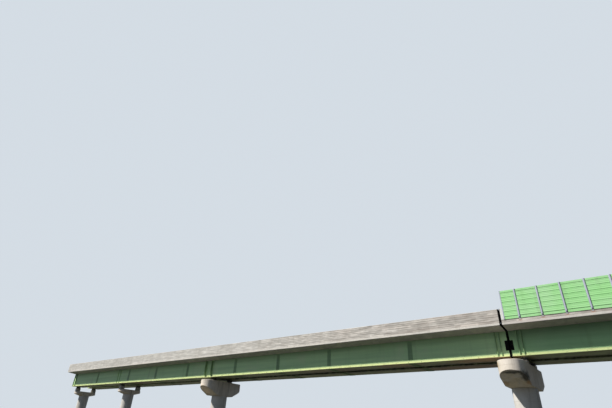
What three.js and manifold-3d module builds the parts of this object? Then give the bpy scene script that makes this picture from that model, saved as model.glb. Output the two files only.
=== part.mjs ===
// Elevated light rail viaduct, two continuous units on five round piers, modelled at 1:10.
// X runs along the viaduct, Y across it and Z up; the ground is Z = 0 and the middle of the
// whole run stands at X = 0, Y = 0. Sizes are real metres times M, so the model is in
// millimetres. A station is a distance along the viaduct from its middle expansion joint.

import * as THREE from "three";
import { mergeVertices } from "three/addons/utils/BufferGeometryUtils.js";
import Module from "manifold-3d";

const M = 100; // millimetres of model for one real metre
const GAP = 0.3; // millimetres between pieces that rest on each other

// Length
const LEFT_END = -89.7 * M;
const RIGHT_END = 45.7 * M;
const JOINT_GAP = 0.15 * M;

// Deck slab
const DECK_HALF_WIDTH = 4.7 * M;
const DRIP_EDGE = 0.02 * M; // the slab edge stands proud of the parapet
const DECK_TOP = 12.69 * M;
const DECK_EDGE_BOTTOM = 12.47 * M;
const GIRDER_TOP = 12.27 * M;

// Box girders
const GIRDER_BOTTOM = 9.82 * M;
const OUTER_WEB = 2.89 * M; // distance of a girder's outer web from the centreline
const INNER_WEB = 0.6 * M;
const PLATE = 0.04 * M;
const FLANGE_LIP = 0.1 * M;
const LIP_THICKNESS = 0.05 * M;
const STIFFENER_THICKNESS = 0.04 * M;
const STIFFENER_DEPTH = 0.09 * M;
const NOTCH = { depth: 0.325 * M, bottom: 0.57 * M, height: 0.97 * M };
const HATCH = { width: 0.9 * M, height: 1.1 * M };

// Parapets
const PARAPET_TOP = 14.06 * M;
const PARAPET_THICKNESS = 0.25 * M;
const PARAPET_CHAMFER = 0.03 * M;

// Track beds and cable trough
const TRACK_CENTRE = 1.95 * M;
const TRACK_BED = { width: 2.5 * M, height: 0.12 * M };
const PLINTH_STRIP = { centre: 0.75 * M, width: 0.45 * M, height: 0.2 * M };
const TROUGH = { width: 0.6 * M, height: 0.32 * M, lidWidth: 0.7 * M, lidHeight: 0.07 * M };

// Noise barrier on the right-hand unit, measured outwards from the parapet's face
const BARRIER_START = 0.38 * M;
const BARRIER_END = RIGHT_END - 0.1 * M;
const BARRIER_BOTTOM = 12.96 * M;
const BARRIER_TOP = 15.82 * M;
const BARRIER_CAP = 0.15 * M;
const BARRIER_SILL = 0.1 * M;
const POST = {
  first: 1.84 * M, pitch: 2 * M,
  width: 0.2 * M, flange: 0.015 * M, depth: 0.13 * M, wrap: 0.005 * M,
};
const PANEL_THICKNESS = 0.08 * M;

// Bearings
const BEARING_PLINTH = { length: 0.6 * M, width: 0.84 * M };
const BEARING_PAD = { length: 0.5 * M, width: 0.65 * M, height: 0.2 * M };
const BEARING_PLATE = { length: 0.6 * M, width: 0.75 * M, height: 0.04 * M };
const GIRDER_CENTRE = (OUTER_WEB + INNER_WEB) / 2;

// Pier crossbeams between the two girders
const CROSSBEAM = { bottom: 10.35 * M, top: 11.95 * M, flange: 0.5 * M, web: 0.06 * M, plate: 0.05 * M };

// Crossheads: half-round noses in plan and an underside that slopes up from a flat middle to the
// tips, apart from the small flat one, which spreads from its column like a dish
const LONG_HEAD = {
  radius: 1.2 * M, length: 9.8 * M, top: 9.3 * M,
  tipBottom: 8.3 * M, bottom: 7.2 * M, flat: 5 * M,
};
const SHORT_HEAD = {
  radius: 1.2 * M, length: 7.6 * M, top: 9.4 * M,
  tipBottom: 8.5 * M, bottom: 7.35 * M, flat: 3.2 * M,
};
const DISH_HEAD = {
  radius: 1 * M, length: 4.5 * M, top: 8.95 * M,
  tipBottom: 8.5 * M, bottom: 8.15 * M, flat: 0,
};

// Piers: number, station and crosshead. Each bearing line has its unit, its distance from the pier
// and the distances from the pier of the two stiffeners over it.
const PIERS = [
  { number: 1, station: -89 * M, head: DISH_HEAD, lines: [["left", 0, [-0.4 * M, 0.4 * M]]] },
  { number: 2, station: -71.5 * M, head: DISH_HEAD, lines: [["left", 0, [-0.4 * M, 0.4 * M]]] },
  { number: 3, station: -45 * M, head: SHORT_HEAD, lines: [["left", 0, [-0.7 * M, 0.7 * M]]] },
  {
    number: 4,
    station: 0,
    head: LONG_HEAD,
    lines: [
      ["left", -0.88 * M, [-1.2 * M, -0.8 * M]],
      ["right", 0.88 * M, [0.85 * M, 1.25 * M]],
    ],
  },
  { number: 5, station: 45 * M, head: LONG_HEAD, lines: [["right", 0, [-0.4 * M, 0.4 * M]]] },
];

// The run is measured over the outermost crossheads, which reach past the deck ends
const [FIRST_PIER, LAST_PIER] = [PIERS[0], PIERS[PIERS.length - 1]];
const RUN_START = FIRST_PIER.station - FIRST_PIER.head.radius;
const RUN_END = LAST_PIER.station + LAST_PIER.head.radius;
const MIDDLE = (RUN_START + RUN_END) / 2;

// Units: name, first and last station, and whether it carries the noise barrier
const UNITS = [
  { name: "left", from: LEFT_END, to: -JOINT_GAP / 2, barrier: false, jointSide: 1 },
  { name: "right", from: JOINT_GAP / 2, to: RIGHT_END, barrier: true, jointSide: -1 },
];

// Sides of the viaduct, near is -Y
const SIDES = [
  { name: "near", sign: -1 },
  { name: "far", sign: 1 },
];

const COLUMN_SEGMENTS = 48;
const NOSE_SEGMENTS = 24;

const COLOURS = {
  concrete: { color: 0xc3bfb6, roughness: 0.85, metalness: 0 },
  trackConcrete: { color: 0xaaa79e, roughness: 0.9, metalness: 0 },
  girderGreen: { color: 0x5d7d59, roughness: 0.5, metalness: 0 },
  rubber: { color: 0x2b2b2b, roughness: 0.8, metalness: 0 },
  barrierPanel: { color: 0x9bd093, roughness: 0.45, metalness: 0 },
  barrierPost: { color: 0xb9c2bd, roughness: 0.45, metalness: 0.3 },
};

const wasm = await Module();
wasm.setup();

const viaduct = new THREE.Group();

// Makes a solid from a closed geometry; faces whose corners fall together are dropped.
function toSolid(geometry) {
  const bare = geometry.clone();
  bare.deleteAttribute("normal");
  bare.deleteAttribute("uv");
  const merged = mergeVertices(bare, 1e-3);
  const corners = merged.index.array;
  const kept = [];
  for (let i = 0; i < corners.length; i += 3) {
    const [a, b, c] = [corners[i], corners[i + 1], corners[i + 2]];
    if (a !== b && b !== c && c !== a) kept.push(a, b, c);
  }
  return new wasm.Manifold(new wasm.Mesh({
    numProp: 3,
    vertProperties: new Float32Array(merged.attributes.position.array),
    triVerts: new Uint32Array(kept),
  }));
}

function toGeometry(solid) {
  const mesh = solid.getMesh();
  const geometry = new THREE.BufferGeometry();
  geometry.setAttribute("position", new THREE.BufferAttribute(mesh.vertProperties, 3));
  geometry.setIndex(new THREE.BufferAttribute(mesh.triVerts, 1));
  geometry.computeVertexNormals();
  return geometry;
}

function join(geometries) {
  return toGeometry(geometries.map(toSolid).reduce((whole, piece) => whole.add(piece)));
}

function cut(geometry, tools) {
  return toGeometry(tools.map(toSolid).reduce((whole, tool) => whole.subtract(tool), toSolid(geometry)));
}

function add(name, geometry, finish) {
  const mesh = new THREE.Mesh(geometry, new THREE.MeshStandardMaterial(COLOURS[finish]));
  mesh.name = name;
  mesh.position.x = -MIDDLE;
  viaduct.add(mesh);
}

// A box between two corners, which its vertices take over exactly
function block(from, to) {
  const box = new THREE.BoxGeometry(1, 1, 1);
  const corners = box.attributes.position;
  for (let i = 0; i < corners.count; i += 1) {
    for (let axis = 0; axis < 3; axis += 1) {
      const ends = [Math.min(from[axis], to[axis]), Math.max(from[axis], to[axis])];
      corners.setComponent(i, axis, ends[corners.getComponent(i, axis) > 0 ? 1 : 0]);
    }
  }
  return box;
}

// An outline always runs anticlockwise, also where its points are mirrored
function shapeOf(points) {
  const outline = points.map(([a, b]) => new THREE.Vector2(a, b));
  return new THREE.Shape(THREE.ShapeUtils.isClockWise(outline) ? outline.reverse() : outline);
}

function extrude(shape, from, to) {
  return new THREE.ExtrudeGeometry(shape, { depth: to - from, bevelEnabled: false }).translate(0, 0, from);
}

// An outline in Y and Z, run along X from one station to another
function alongX(shape, from, to) {
  const turn = new THREE.Matrix4().makeBasis(
    new THREE.Vector3(0, 1, 0),
    new THREE.Vector3(0, 0, 1),
    new THREE.Vector3(1, 0, 0),
  );
  return extrude(shape, from, to).applyMatrix4(turn);
}

// An outline in Z and X, run along Y
function alongY(shape, from, to) {
  const turn = new THREE.Matrix4().makeBasis(
    new THREE.Vector3(0, 0, 1),
    new THREE.Vector3(1, 0, 0),
    new THREE.Vector3(0, 1, 0),
  );
  return extrude(shape, from, to).applyMatrix4(turn);
}

// A ring with two half-round ends across the viaduct; with no reach it is a circle
function roundEndedRing(station, radius, reach, height) {
  const ring = [];
  for (const end of [1, -1]) {
    for (let i = 0; i <= NOSE_SEGMENTS; i += 1) {
      const angle = (end === 1 ? 0 : Math.PI) + (Math.PI * i) / NOSE_SEGMENTS;
      const x = station + radius * Math.cos(angle);
      ring.push([x, end * reach + radius * Math.sin(angle), height]);
    }
  }
  return ring;
}

// A closed skin over rings that run the same way round, from the lowest up
function loft(rings) {
  const count = rings[0].length;
  const positions = rings.flat(2);
  const index = [];
  for (let level = 0; level + 1 < rings.length; level += 1) {
    for (let i = 0; i < count; i += 1) {
      const next = (i + 1) % count;
      const [a, b] = [level * count + i, level * count + next];
      const [c, d] = [a + count, b + count];
      index.push(a, b, d, a, d, c);
    }
  }
  const top = (rings.length - 1) * count;
  for (let i = 1; i + 1 < count; i += 1) {
    index.push(0, i + 1, i);
    index.push(top, top + i, top + i + 1);
  }
  const geometry = new THREE.BufferGeometry();
  geometry.setAttribute("position", new THREE.Float32BufferAttribute(positions, 3));
  geometry.setIndex(index);
  return geometry;
}

function addColumn(pier) {
  const { radius, bottom } = pier.head;
  const column = new THREE.CylinderGeometry(radius, radius, bottom, COLUMN_SEGMENTS);
  column.rotateX(Math.PI / 2).translate(pier.station, 0, bottom / 2);
  add(`pier_${pier.number}_column`, column, "concrete");
}

// Height of the concrete plinths under the bearings
function plinthTop() {
  return GIRDER_BOTTOM - GAP * 2 - BEARING_PAD.height - BEARING_PLATE.height * 2;
}

// A dish that spreads from the column's top to a round-ended slab
function dishHead(pier) {
  const { radius, length, top, tipBottom, bottom } = pier.head;
  const reach = length / 2 - radius;
  return toSolid(loft([
    roundEndedRing(pier.station, radius, 0, bottom + GAP),
    roundEndedRing(pier.station, radius, reach, tipBottom),
    roundEndedRing(pier.station, radius, reach, top),
  ]));
}

// A round-ended block whose underside is cut to a flat middle and two slopes
function hammerhead(pier) {
  const { radius, length, top, tipBottom, bottom, flat } = pier.head;
  const reach = length / 2 - radius;
  const [low, over] = [bottom + GAP, M];
  const plan = loft([
    roundEndedRing(pier.station, radius, reach, low - over),
    roundEndedRing(pier.station, radius, reach, top),
  ]);
  const slope = (tipBottom - low) / (length / 2 - flat / 2);
  const [far, farBottom] = [length / 2 + over, tipBottom + slope * over];
  const profile = shapeOf([
    [-flat / 2, low],
    [flat / 2, low],
    [far, farBottom],
    [far, top + over],
    [-far, top + over],
    [-far, farBottom],
  ]);
  const side = alongX(profile, pier.station - radius - over, pier.station + radius + over);
  return toSolid(plan).intersect(toSolid(side));
}

function addCrosshead(pier) {
  let head = pier.head.flat > 0 ? hammerhead(pier) : dishHead(pier);
  const { length: long, width: wide } = BEARING_PLINTH;
  for (const [, offset] of pier.lines) {
    for (const side of SIDES) {
      const [x, y] = [pier.station + offset, side.sign * GIRDER_CENTRE];
      const sunk = pier.head.top - 0.05 * M;
      const plinth = block([x - long / 2, y - wide / 2, sunk], [x + long / 2, y + wide / 2, plinthTop()]);
      head = head.add(toSolid(plinth));
    }
  }
  add(`pier_${pier.number}_crosshead`, toGeometry(head), "concrete");
}

// A rubber pad between two steel plates
function addBearings(pier) {
  for (const [unit, offset] of pier.lines) {
    for (const side of SIDES) {
      const [x, y] = [pier.station + offset, side.sign * GIRDER_CENTRE];
      const layers = [BEARING_PLATE, BEARING_PAD, BEARING_PLATE];
      let level = plinthTop() + GAP;
      const solids = layers.map((layer) => {
        const low = [x - layer.length / 2, y - layer.width / 2, level];
        level += layer.height;
        return block(low, [x + layer.length / 2, y + layer.width / 2, level]);
      });
      add(`bearing_${pier.number}_${unit}_${side.name}`, join(solids), "rubber");
    }
  }
}

// Stations of a unit's bearing lines and of the stiffeners over them
function bearingLines(unit) {
  return PIERS.flatMap((pier) => pier.lines
    .filter(([name]) => name === unit.name)
    .map(([, offset, stiffenerOffsets]) => ({
      number: pier.number,
      station: pier.station + offset,
      stiffeners: stiffenerOffsets.map((distance) => pier.station + distance),
    })));
}

// The girder's hollow section, with the bottom flange wider than the box
function girderSection(side) {
  const [inner, outer] = [side.sign * INNER_WEB, side.sign * OUTER_WEB];
  const lip = side.sign * FLANGE_LIP;
  const wall = side.sign * PLATE;
  const section = shapeOf([
    [inner - lip, GIRDER_BOTTOM],
    [outer + lip, GIRDER_BOTTOM],
    [outer + lip, GIRDER_BOTTOM + LIP_THICKNESS],
    [outer, GIRDER_BOTTOM + LIP_THICKNESS],
    [outer, GIRDER_TOP],
    [inner, GIRDER_TOP],
    [inner, GIRDER_BOTTOM + LIP_THICKNESS],
    [inner - lip, GIRDER_BOTTOM + LIP_THICKNESS],
  ]);
  section.holes.push(shapeOf([
    [inner + wall, GIRDER_BOTTOM + PLATE],
    [outer - wall, GIRDER_BOTTOM + PLATE],
    [outer - wall, GIRDER_TOP - PLATE],
    [inner + wall, GIRDER_TOP - PLATE],
  ]));
  return section;
}

// A plate across the inside of the girder, with a hatch through it
function diaphragm(side, station) {
  const sink = PLATE / 2;
  const [low, high] = [GIRDER_BOTTOM + PLATE - sink, GIRDER_TOP - PLATE + sink];
  const [inner, outer] = [INNER_WEB + sink, OUTER_WEB - sink];
  const plate = shapeOf([
    [side.sign * inner, low],
    [side.sign * outer, low],
    [side.sign * outer, high],
    [side.sign * inner, high],
  ]);
  const [y, z] = [side.sign * GIRDER_CENTRE, (low + high) / 2];
  const [halfWidth, halfHeight] = [HATCH.width / 2, HATCH.height / 2];
  plate.holes.push(shapeOf([
    [y - halfWidth, z - halfHeight],
    [y + halfWidth, z - halfHeight],
    [y + halfWidth, z + halfHeight],
    [y - halfWidth, z + halfHeight],
  ]));
  return alongX(plate, station - PLATE / 2, station + PLATE / 2);
}

// An upright plate on the outer web
function stiffener(side, station) {
  return block(
    [station - STIFFENER_THICKNESS / 2, side.sign * (OUTER_WEB - PLATE / 2), GIRDER_BOTTOM + PLATE / 2],
    [station + STIFFENER_THICKNESS / 2, side.sign * (OUTER_WEB + STIFFENER_DEPTH), GIRDER_TOP],
  );
}

function addGirder(unit, side) {
  const pieces = [alongX(girderSection(side), unit.from, unit.to)];
  for (const line of bearingLines(unit)) {
    pieces.push(diaphragm(side, line.station));
    pieces.push(...line.stiffeners.map((station) => stiffener(side, station)));
  }
  const face = unit.jointSide === 1 ? unit.to : unit.from;
  const low = GIRDER_BOTTOM + NOTCH.bottom;
  const notch = block(
    [face + JOINT_GAP * unit.jointSide, 0, low],
    [face - NOTCH.depth * unit.jointSide, side.sign * (OUTER_WEB + M), low + NOTCH.height],
  );
  add(`girder_${unit.name}_${side.name}`, cut(join(pieces), [notch]), "girderGreen");
}

// An I-shaped beam between the two girders over each bearing line
function addCrossbeams(unit) {
  const { bottom, top, flange, web, plate } = CROSSBEAM;
  for (const { number, station } of bearingLines(unit)) {
    const outline = shapeOf([
      [bottom, station - flange / 2],
      [bottom, station + flange / 2],
      [bottom + plate, station + flange / 2],
      [bottom + plate, station + web / 2],
      [top - plate, station + web / 2],
      [top - plate, station + flange / 2],
      [top, station + flange / 2],
      [top, station - flange / 2],
      [top - plate, station - flange / 2],
      [top - plate, station - web / 2],
      [bottom + plate, station - web / 2],
      [bottom + plate, station - flange / 2],
    ]);
    const reach = INNER_WEB - GAP;
    add(`crossbeam_${number}_${unit.name}`, alongY(outline, -reach, reach), "girderGreen");
  }
}

function addDeck(unit) {
  const edge = DECK_HALF_WIDTH + DRIP_EDGE;
  const section = shapeOf([
    [-OUTER_WEB, GIRDER_TOP + GAP],
    [OUTER_WEB, GIRDER_TOP + GAP],
    [edge, DECK_EDGE_BOTTOM],
    [edge, DECK_TOP],
    [-edge, DECK_TOP],
    [-edge, DECK_EDGE_BOTTOM],
  ]);
  add(`deck_${unit.name}`, alongX(section, unit.from, unit.to), "concrete");
}

function addParapet(unit, side) {
  const outer = side.sign * DECK_HALF_WIDTH;
  const inner = side.sign * (DECK_HALF_WIDTH - PARAPET_THICKNESS);
  const bevel = side.sign * PARAPET_CHAMFER;
  const section = shapeOf([
    [inner, DECK_TOP + GAP],
    [outer, DECK_TOP + GAP],
    [outer, PARAPET_TOP - PARAPET_CHAMFER],
    [outer - bevel, PARAPET_TOP],
    [inner + bevel, PARAPET_TOP],
    [inner, PARAPET_TOP - PARAPET_CHAMFER],
  ]);
  add(`parapet_${unit.name}_${side.name}`, alongX(section, unit.from, unit.to), "concrete");
}

// A flat bed with two raised strips that would carry the rails
function addTrackBed(unit, side) {
  const middle = side.sign * TRACK_CENTRE;
  const base = DECK_TOP + GAP;
  const bedTop = base + TRACK_BED.height;
  const stripTop = bedTop + PLINTH_STRIP.height;
  const outline = [[middle - TRACK_BED.width / 2, base], [middle + TRACK_BED.width / 2, base]];
  outline.push([middle + TRACK_BED.width / 2, bedTop]);
  for (const end of [1, -1]) {
    const centre = middle + end * PLINTH_STRIP.centre;
    outline.push([centre + PLINTH_STRIP.width / 2, bedTop], [centre + PLINTH_STRIP.width / 2, stripTop]);
    outline.push([centre - PLINTH_STRIP.width / 2, stripTop], [centre - PLINTH_STRIP.width / 2, bedTop]);
  }
  outline.push([middle - TRACK_BED.width / 2, bedTop]);
  add(`track_bed_${unit.name}_${side.name}`, alongX(shapeOf(outline), unit.from, unit.to), "trackConcrete");
}

// A covered trough for cables between the two tracks
function addTrough(unit) {
  const base = DECK_TOP + GAP;
  const lidBottom = base + TROUGH.height - TROUGH.lidHeight;
  const section = shapeOf([
    [-TROUGH.width / 2, base],
    [TROUGH.width / 2, base],
    [TROUGH.width / 2, lidBottom],
    [TROUGH.lidWidth / 2, lidBottom],
    [TROUGH.lidWidth / 2, base + TROUGH.height],
    [-TROUGH.lidWidth / 2, base + TROUGH.height],
    [-TROUGH.lidWidth / 2, lidBottom],
    [-TROUGH.width / 2, lidBottom],
  ]);
  add(`cable_trough_${unit.name}`, alongX(section, unit.from, unit.to), "trackConcrete");
}

// Posts whose flanges hold the wall from both sides, joined by a cap and a sill that wrap round them
function addBarrierPosts(side) {
  const inner = DECK_HALF_WIDTH + GAP;
  const outer = inner + POST.depth;
  const strip = (x1, x2, out1, out2, z1, z2) =>
    block([x1, side.sign * out1, z1], [x2, side.sign * out2, z2]);
  const pieces = [
    strip(BARRIER_START, BARRIER_END, inner, outer, BARRIER_TOP - BARRIER_CAP, BARRIER_TOP),
    strip(BARRIER_START, BARRIER_END, inner, outer, BARRIER_BOTTOM, BARRIER_BOTTOM + BARRIER_SILL),
  ];
  const endReach = POST.width / 2 + POST.wrap;
  const centres = [BARRIER_START + endReach, BARRIER_END - endReach];
  for (let x = POST.first; x < BARRIER_END - POST.pitch / 2; x += POST.pitch) centres.push(x);
  const [foot, head] = [BARRIER_BOTTOM + BARRIER_SILL / 2, BARRIER_TOP - BARRIER_CAP / 2];
  for (const x of centres) {
    const [x1, x2] = [x - POST.width / 2, x + POST.width / 2];
    pieces.push(strip(x1, x2, inner + POST.wrap, inner + POST.wrap + POST.flange, foot, head));
    pieces.push(strip(x1, x2, outer - POST.wrap - POST.flange, outer - POST.wrap, foot, head));
  }
  add(`barrier_posts_${side.name}`, join(pieces), "barrierPost");
}

function addBarrierWall(side) {
  const centre = DECK_HALF_WIDTH + GAP + POST.depth / 2;
  const wall = block(
    [BARRIER_START, side.sign * (centre - PANEL_THICKNESS / 2), BARRIER_BOTTOM + BARRIER_SILL + GAP],
    [BARRIER_END, side.sign * (centre + PANEL_THICKNESS / 2), BARRIER_TOP - BARRIER_CAP - GAP],
  );
  add(`barrier_wall_${side.name}`, wall, "barrierPanel");
}

for (const pier of PIERS) {
  addColumn(pier);
  addCrosshead(pier);
  addBearings(pier);
}

for (const unit of UNITS) {
  addDeck(unit);
  addCrossbeams(unit);
  addTrough(unit);
  for (const side of SIDES) {
    addGirder(unit, side);
    addParapet(unit, side);
    addTrackBed(unit, side);
    if (unit.barrier) {
      addBarrierPosts(side);
      addBarrierWall(side);
    }
  }
}

export default viaduct;
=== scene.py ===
"""Looks of an elevated light rail viaduct, a 1:10 model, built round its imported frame.

Sizes are real metres, and a station is a distance along the viaduct from its middle expansion
joint. Y runs across it and Z up from the ground. A mesh is scaled to the model when it is made.
"""

import logging
import math
from collections.abc import Iterable, Sequence
from dataclasses import dataclass, replace
from enum import Enum
from functools import cache

import bpy
import numpy as np
from mathutils import Matrix, Vector


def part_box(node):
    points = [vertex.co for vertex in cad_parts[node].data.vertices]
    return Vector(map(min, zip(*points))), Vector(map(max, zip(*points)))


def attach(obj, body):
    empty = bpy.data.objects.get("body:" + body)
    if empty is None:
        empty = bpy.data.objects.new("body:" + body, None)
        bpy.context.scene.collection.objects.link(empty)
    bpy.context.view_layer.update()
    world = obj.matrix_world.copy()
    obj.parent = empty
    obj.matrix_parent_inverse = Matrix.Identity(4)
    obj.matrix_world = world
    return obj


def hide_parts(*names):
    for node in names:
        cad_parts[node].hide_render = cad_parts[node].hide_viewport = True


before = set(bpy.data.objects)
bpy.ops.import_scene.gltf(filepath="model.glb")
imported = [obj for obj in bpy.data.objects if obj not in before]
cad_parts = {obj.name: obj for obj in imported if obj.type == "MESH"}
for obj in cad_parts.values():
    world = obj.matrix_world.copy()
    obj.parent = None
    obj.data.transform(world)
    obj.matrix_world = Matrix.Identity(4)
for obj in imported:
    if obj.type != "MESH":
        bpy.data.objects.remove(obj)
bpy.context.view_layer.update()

LOG = logging.getLogger("viaduct")

SCALE = 0.1  # model metres for one real metre
JOINT_X = (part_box("deck_left")[1].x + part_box("deck_right")[0].x) / 2
OUTER_WEB, INNER_WEB = 2.89, 0.6  # from the centreline to the faces of a girder's two webs
FIRST_POST, POST_PITCH = 1.84, 2.0  # the noise barrier's first post and the space from post to post
SHARP_ANGLE = math.radians(32)

Colour = tuple[float, float, float]
Place = tuple[float, float, float]
Pair = tuple[float, float]
Outline = Sequence[Pair]
Level = tuple[Outline, Sequence[float]]  # a half plan and the height of each of its points
Socket = bpy.types.NodeSocket
Input = Socket | float | Colour


class Unit(Enum):
    """The two continuous lengths of the viaduct, either side of the middle joint."""

    LEFT = "left"
    RIGHT = "right"

    @property
    def body(self) -> str:
        """The body that the unit's pieces ride on."""
        return f"{self.value}_unit"


class Side(Enum):
    """The two sides of the viaduct; near is towards -Y."""

    NEAR = "near"
    FAR = "far"

    @property
    def sign(self) -> int:
        """The sign of Y on this side."""
        return -1 if self is Side.NEAR else 1


class Axis(Enum):
    """The direction in which an outline is run."""

    ALONG = 0
    ACROSS = 1
    UP = 2

    def ring(self, outline: Outline, place: float) -> np.ndarray:
        """Lays an outline in a plane square to this axis.

        Args:
            outline: Points in the two axes that follow this one in turn: Y and Z along the
                viaduct, Z and X across it, X and Y up.
            place: Where the plane stands on the axis.

        Returns:
            One row of three coordinates for each point.
        """
        ring = np.empty((len(outline), 3))
        ring[:, self.value] = place
        ring[:, [(self.value + 1) % 3, (self.value + 2) % 3]] = outline
        return ring


@dataclass(frozen=True)
class Extent:
    """The box of a node of the frame, in real metres and stations."""

    low: Vector
    high: Vector

    @classmethod
    def of(cls, node: str) -> "Extent":
        """Reads a node's box.

        Args:
            node: The node's name.

        Returns:
            Its lowest and highest corner.
        """
        joint = Vector((JOINT_X, 0, 0))
        low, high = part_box(node)
        return cls((low - joint) / SCALE, (high - joint) / SCALE)

    @property
    def middle(self) -> Vector:
        """The middle of the box."""
        return (self.low + self.high) / 2

    def face(self, sign: int) -> float:
        """Gives the Y of the face that looks towards +Y, or -Y where the sign is negative."""
        return self.high.y if sign > 0 else self.low.y


def anticlockwise(outline: Outline) -> list[Pair]:
    """Turns an outline so that it runs anticlockwise.

    Args:
        outline: The points of a plain polygon.

    Returns:
        The same points, in reverse order where that is needed.
    """
    points = list(outline)
    area = sum(a[0] * b[1] - b[0] * a[1] for a, b in zip(points, points[1:] + points[:1]))
    return points if area > 0 else points[::-1]


def inset(outline: Outline, size: float) -> list[Pair]:
    """Moves every side of an anticlockwise outline inwards.

    Args:
        outline: The points of a plain polygon.
        size: How far the sides move.

    Returns:
        The smaller outline, with as many points.
    """
    points = np.array(outline)
    along = np.roll(points, -1, axis=0) - points
    along /= np.linalg.norm(along, axis=1)[:, None]
    inward = np.stack((-along[:, 1], along[:, 0]), axis=1)
    before = np.roll(inward, 1, axis=0)
    share = 1 + np.sum(inward * before, axis=1)
    return [tuple(p) for p in points + (inward + before) * (size / share)[:, None]]


def rectangle(a0: float, a1: float, b0: float, b1: float, corner: float = 0.0) -> Outline:
    """Outlines a rectangle.

    Args:
        a0: One end in the first axis.
        a1: The other end in the first axis.
        b0: One end in the second axis.
        b1: The other end in the second axis.
        corner: How far each corner is cut back.

    Returns:
        Four points, or eight where the corners are cut.
    """
    (a0, a1), (b0, b1) = sorted((a0, a1)), sorted((b0, b1))
    if not corner:
        return [(a0, b0), (a1, b0), (a1, b1), (a0, b1)]
    c = corner
    return [
        (a0 + c, b0), (a1 - c, b0), (a1, b0 + c), (a1, b1 - c),
        (a1 - c, b1), (a0 + c, b1), (a0, b1 - c), (a0, b0 + c),
    ]


def polygon(count: int, radius: float, a: float = 0.0, b: float = 0.0) -> Outline:
    """Outlines a regular polygon.

    Args:
        count: How many corners it has.
        radius: From its middle to a corner.
        a: The middle in the first axis.
        b: The middle in the second axis.

    Returns:
        The corners, anticlockwise.
    """
    angles = [2 * math.pi * i / count for i in range(count)]
    return [(a + radius * math.cos(t), b + radius * math.sin(t)) for t in angles]


def spread(count: int, start: float, end: float) -> list[float]:
    """Spaces places evenly, with half a space at each end.

    Args:
        count: How many places there are.
        start: Where the stretch starts.
        end: Where it ends.

    Returns:
        The places.
    """
    return [start + (i + 0.5) * (end - start) / count for i in range(count)]


def bays(start: float, end: float, length: float) -> list[Pair]:
    """Divides a stretch into equal bays.

    Args:
        start: The first station.
        end: The last station.
        length: About how long a bay is.

    Returns:
        Each bay's first and last station.
    """
    marks = np.linspace(start, end, max(1, round((end - start) / length)) + 1)
    return list(zip(marks[:-1].tolist(), marks[1:].tolist()))


@dataclass(frozen=True)
class Solid:
    """A closed solid: its corners in real metres and the faces between them."""

    corners: np.ndarray
    faces: tuple[tuple[int, ...], ...]

    @classmethod
    def through(cls, rings: Sequence[np.ndarray]) -> "Solid":
        """Skins a stack of rings that run anticlockwise as seen from the stack's end.

        Args:
            rings: Arrays with as many rows each, one row of three coordinates per corner.

        Returns:
            The solid from the first ring to the last, with a flat cap at each.
        """
        count = len(rings[0])
        last = (len(rings) - 1) * count
        faces = [tuple(reversed(range(count))), tuple(range(last, last + count))]
        for low in range(0, last, count):
            for i in range(count):
                j = (i + 1) % count
                faces.append((low + i, low + j, low + count + j, low + count + i))
        return cls(np.vstack(rings), tuple(faces))

    @classmethod
    def prism(cls, outline: Outline, axis: Axis, start: float, end: float, edge: float = 0.0) -> "Solid":
        """Runs an outline along an axis.

        Args:
            outline: The points of a plain polygon, in the order that the axis asks for.
            axis: The direction of the run.
            start: Where the run starts.
            end: Where it ends.
            edge: How far the edges at both ends are cut back.

        Returns:
            The closed prism.
        """
        start, end = sorted((start, end))
        full = anticlockwise(outline)
        if not edge:
            return cls.through([axis.ring(full, start), axis.ring(full, end)])
        small = inset(full, edge)
        steps = [(small, start), (full, start + edge), (full, end - edge), (small, end)]
        return cls.through([axis.ring(points, place) for points, place in steps])

    @classmethod
    def block(cls, low: Place, high: Place, edge: float = 0.0) -> "Solid":
        """Makes a box between two opposite corners, in any order, with its edges cut back."""
        outline = rectangle(low[0], high[0], low[1], high[1], edge)
        return cls.prism(outline, Axis.UP, low[2], high[2], edge)

    @classmethod
    def standing(cls, size: Place, edge: float = 0.0) -> "Solid":
        """Makes a box that stands on the middle of its foot, at the origin."""
        long, wide, tall = size
        return cls.block((-long / 2, -wide / 2, 0.0), (long / 2, wide / 2, tall), edge)


@dataclass(frozen=True)
class Relief:
    """How far a pattern raises a surface, in real metres, and how much of that shows."""

    depth: float
    strength: float


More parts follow.
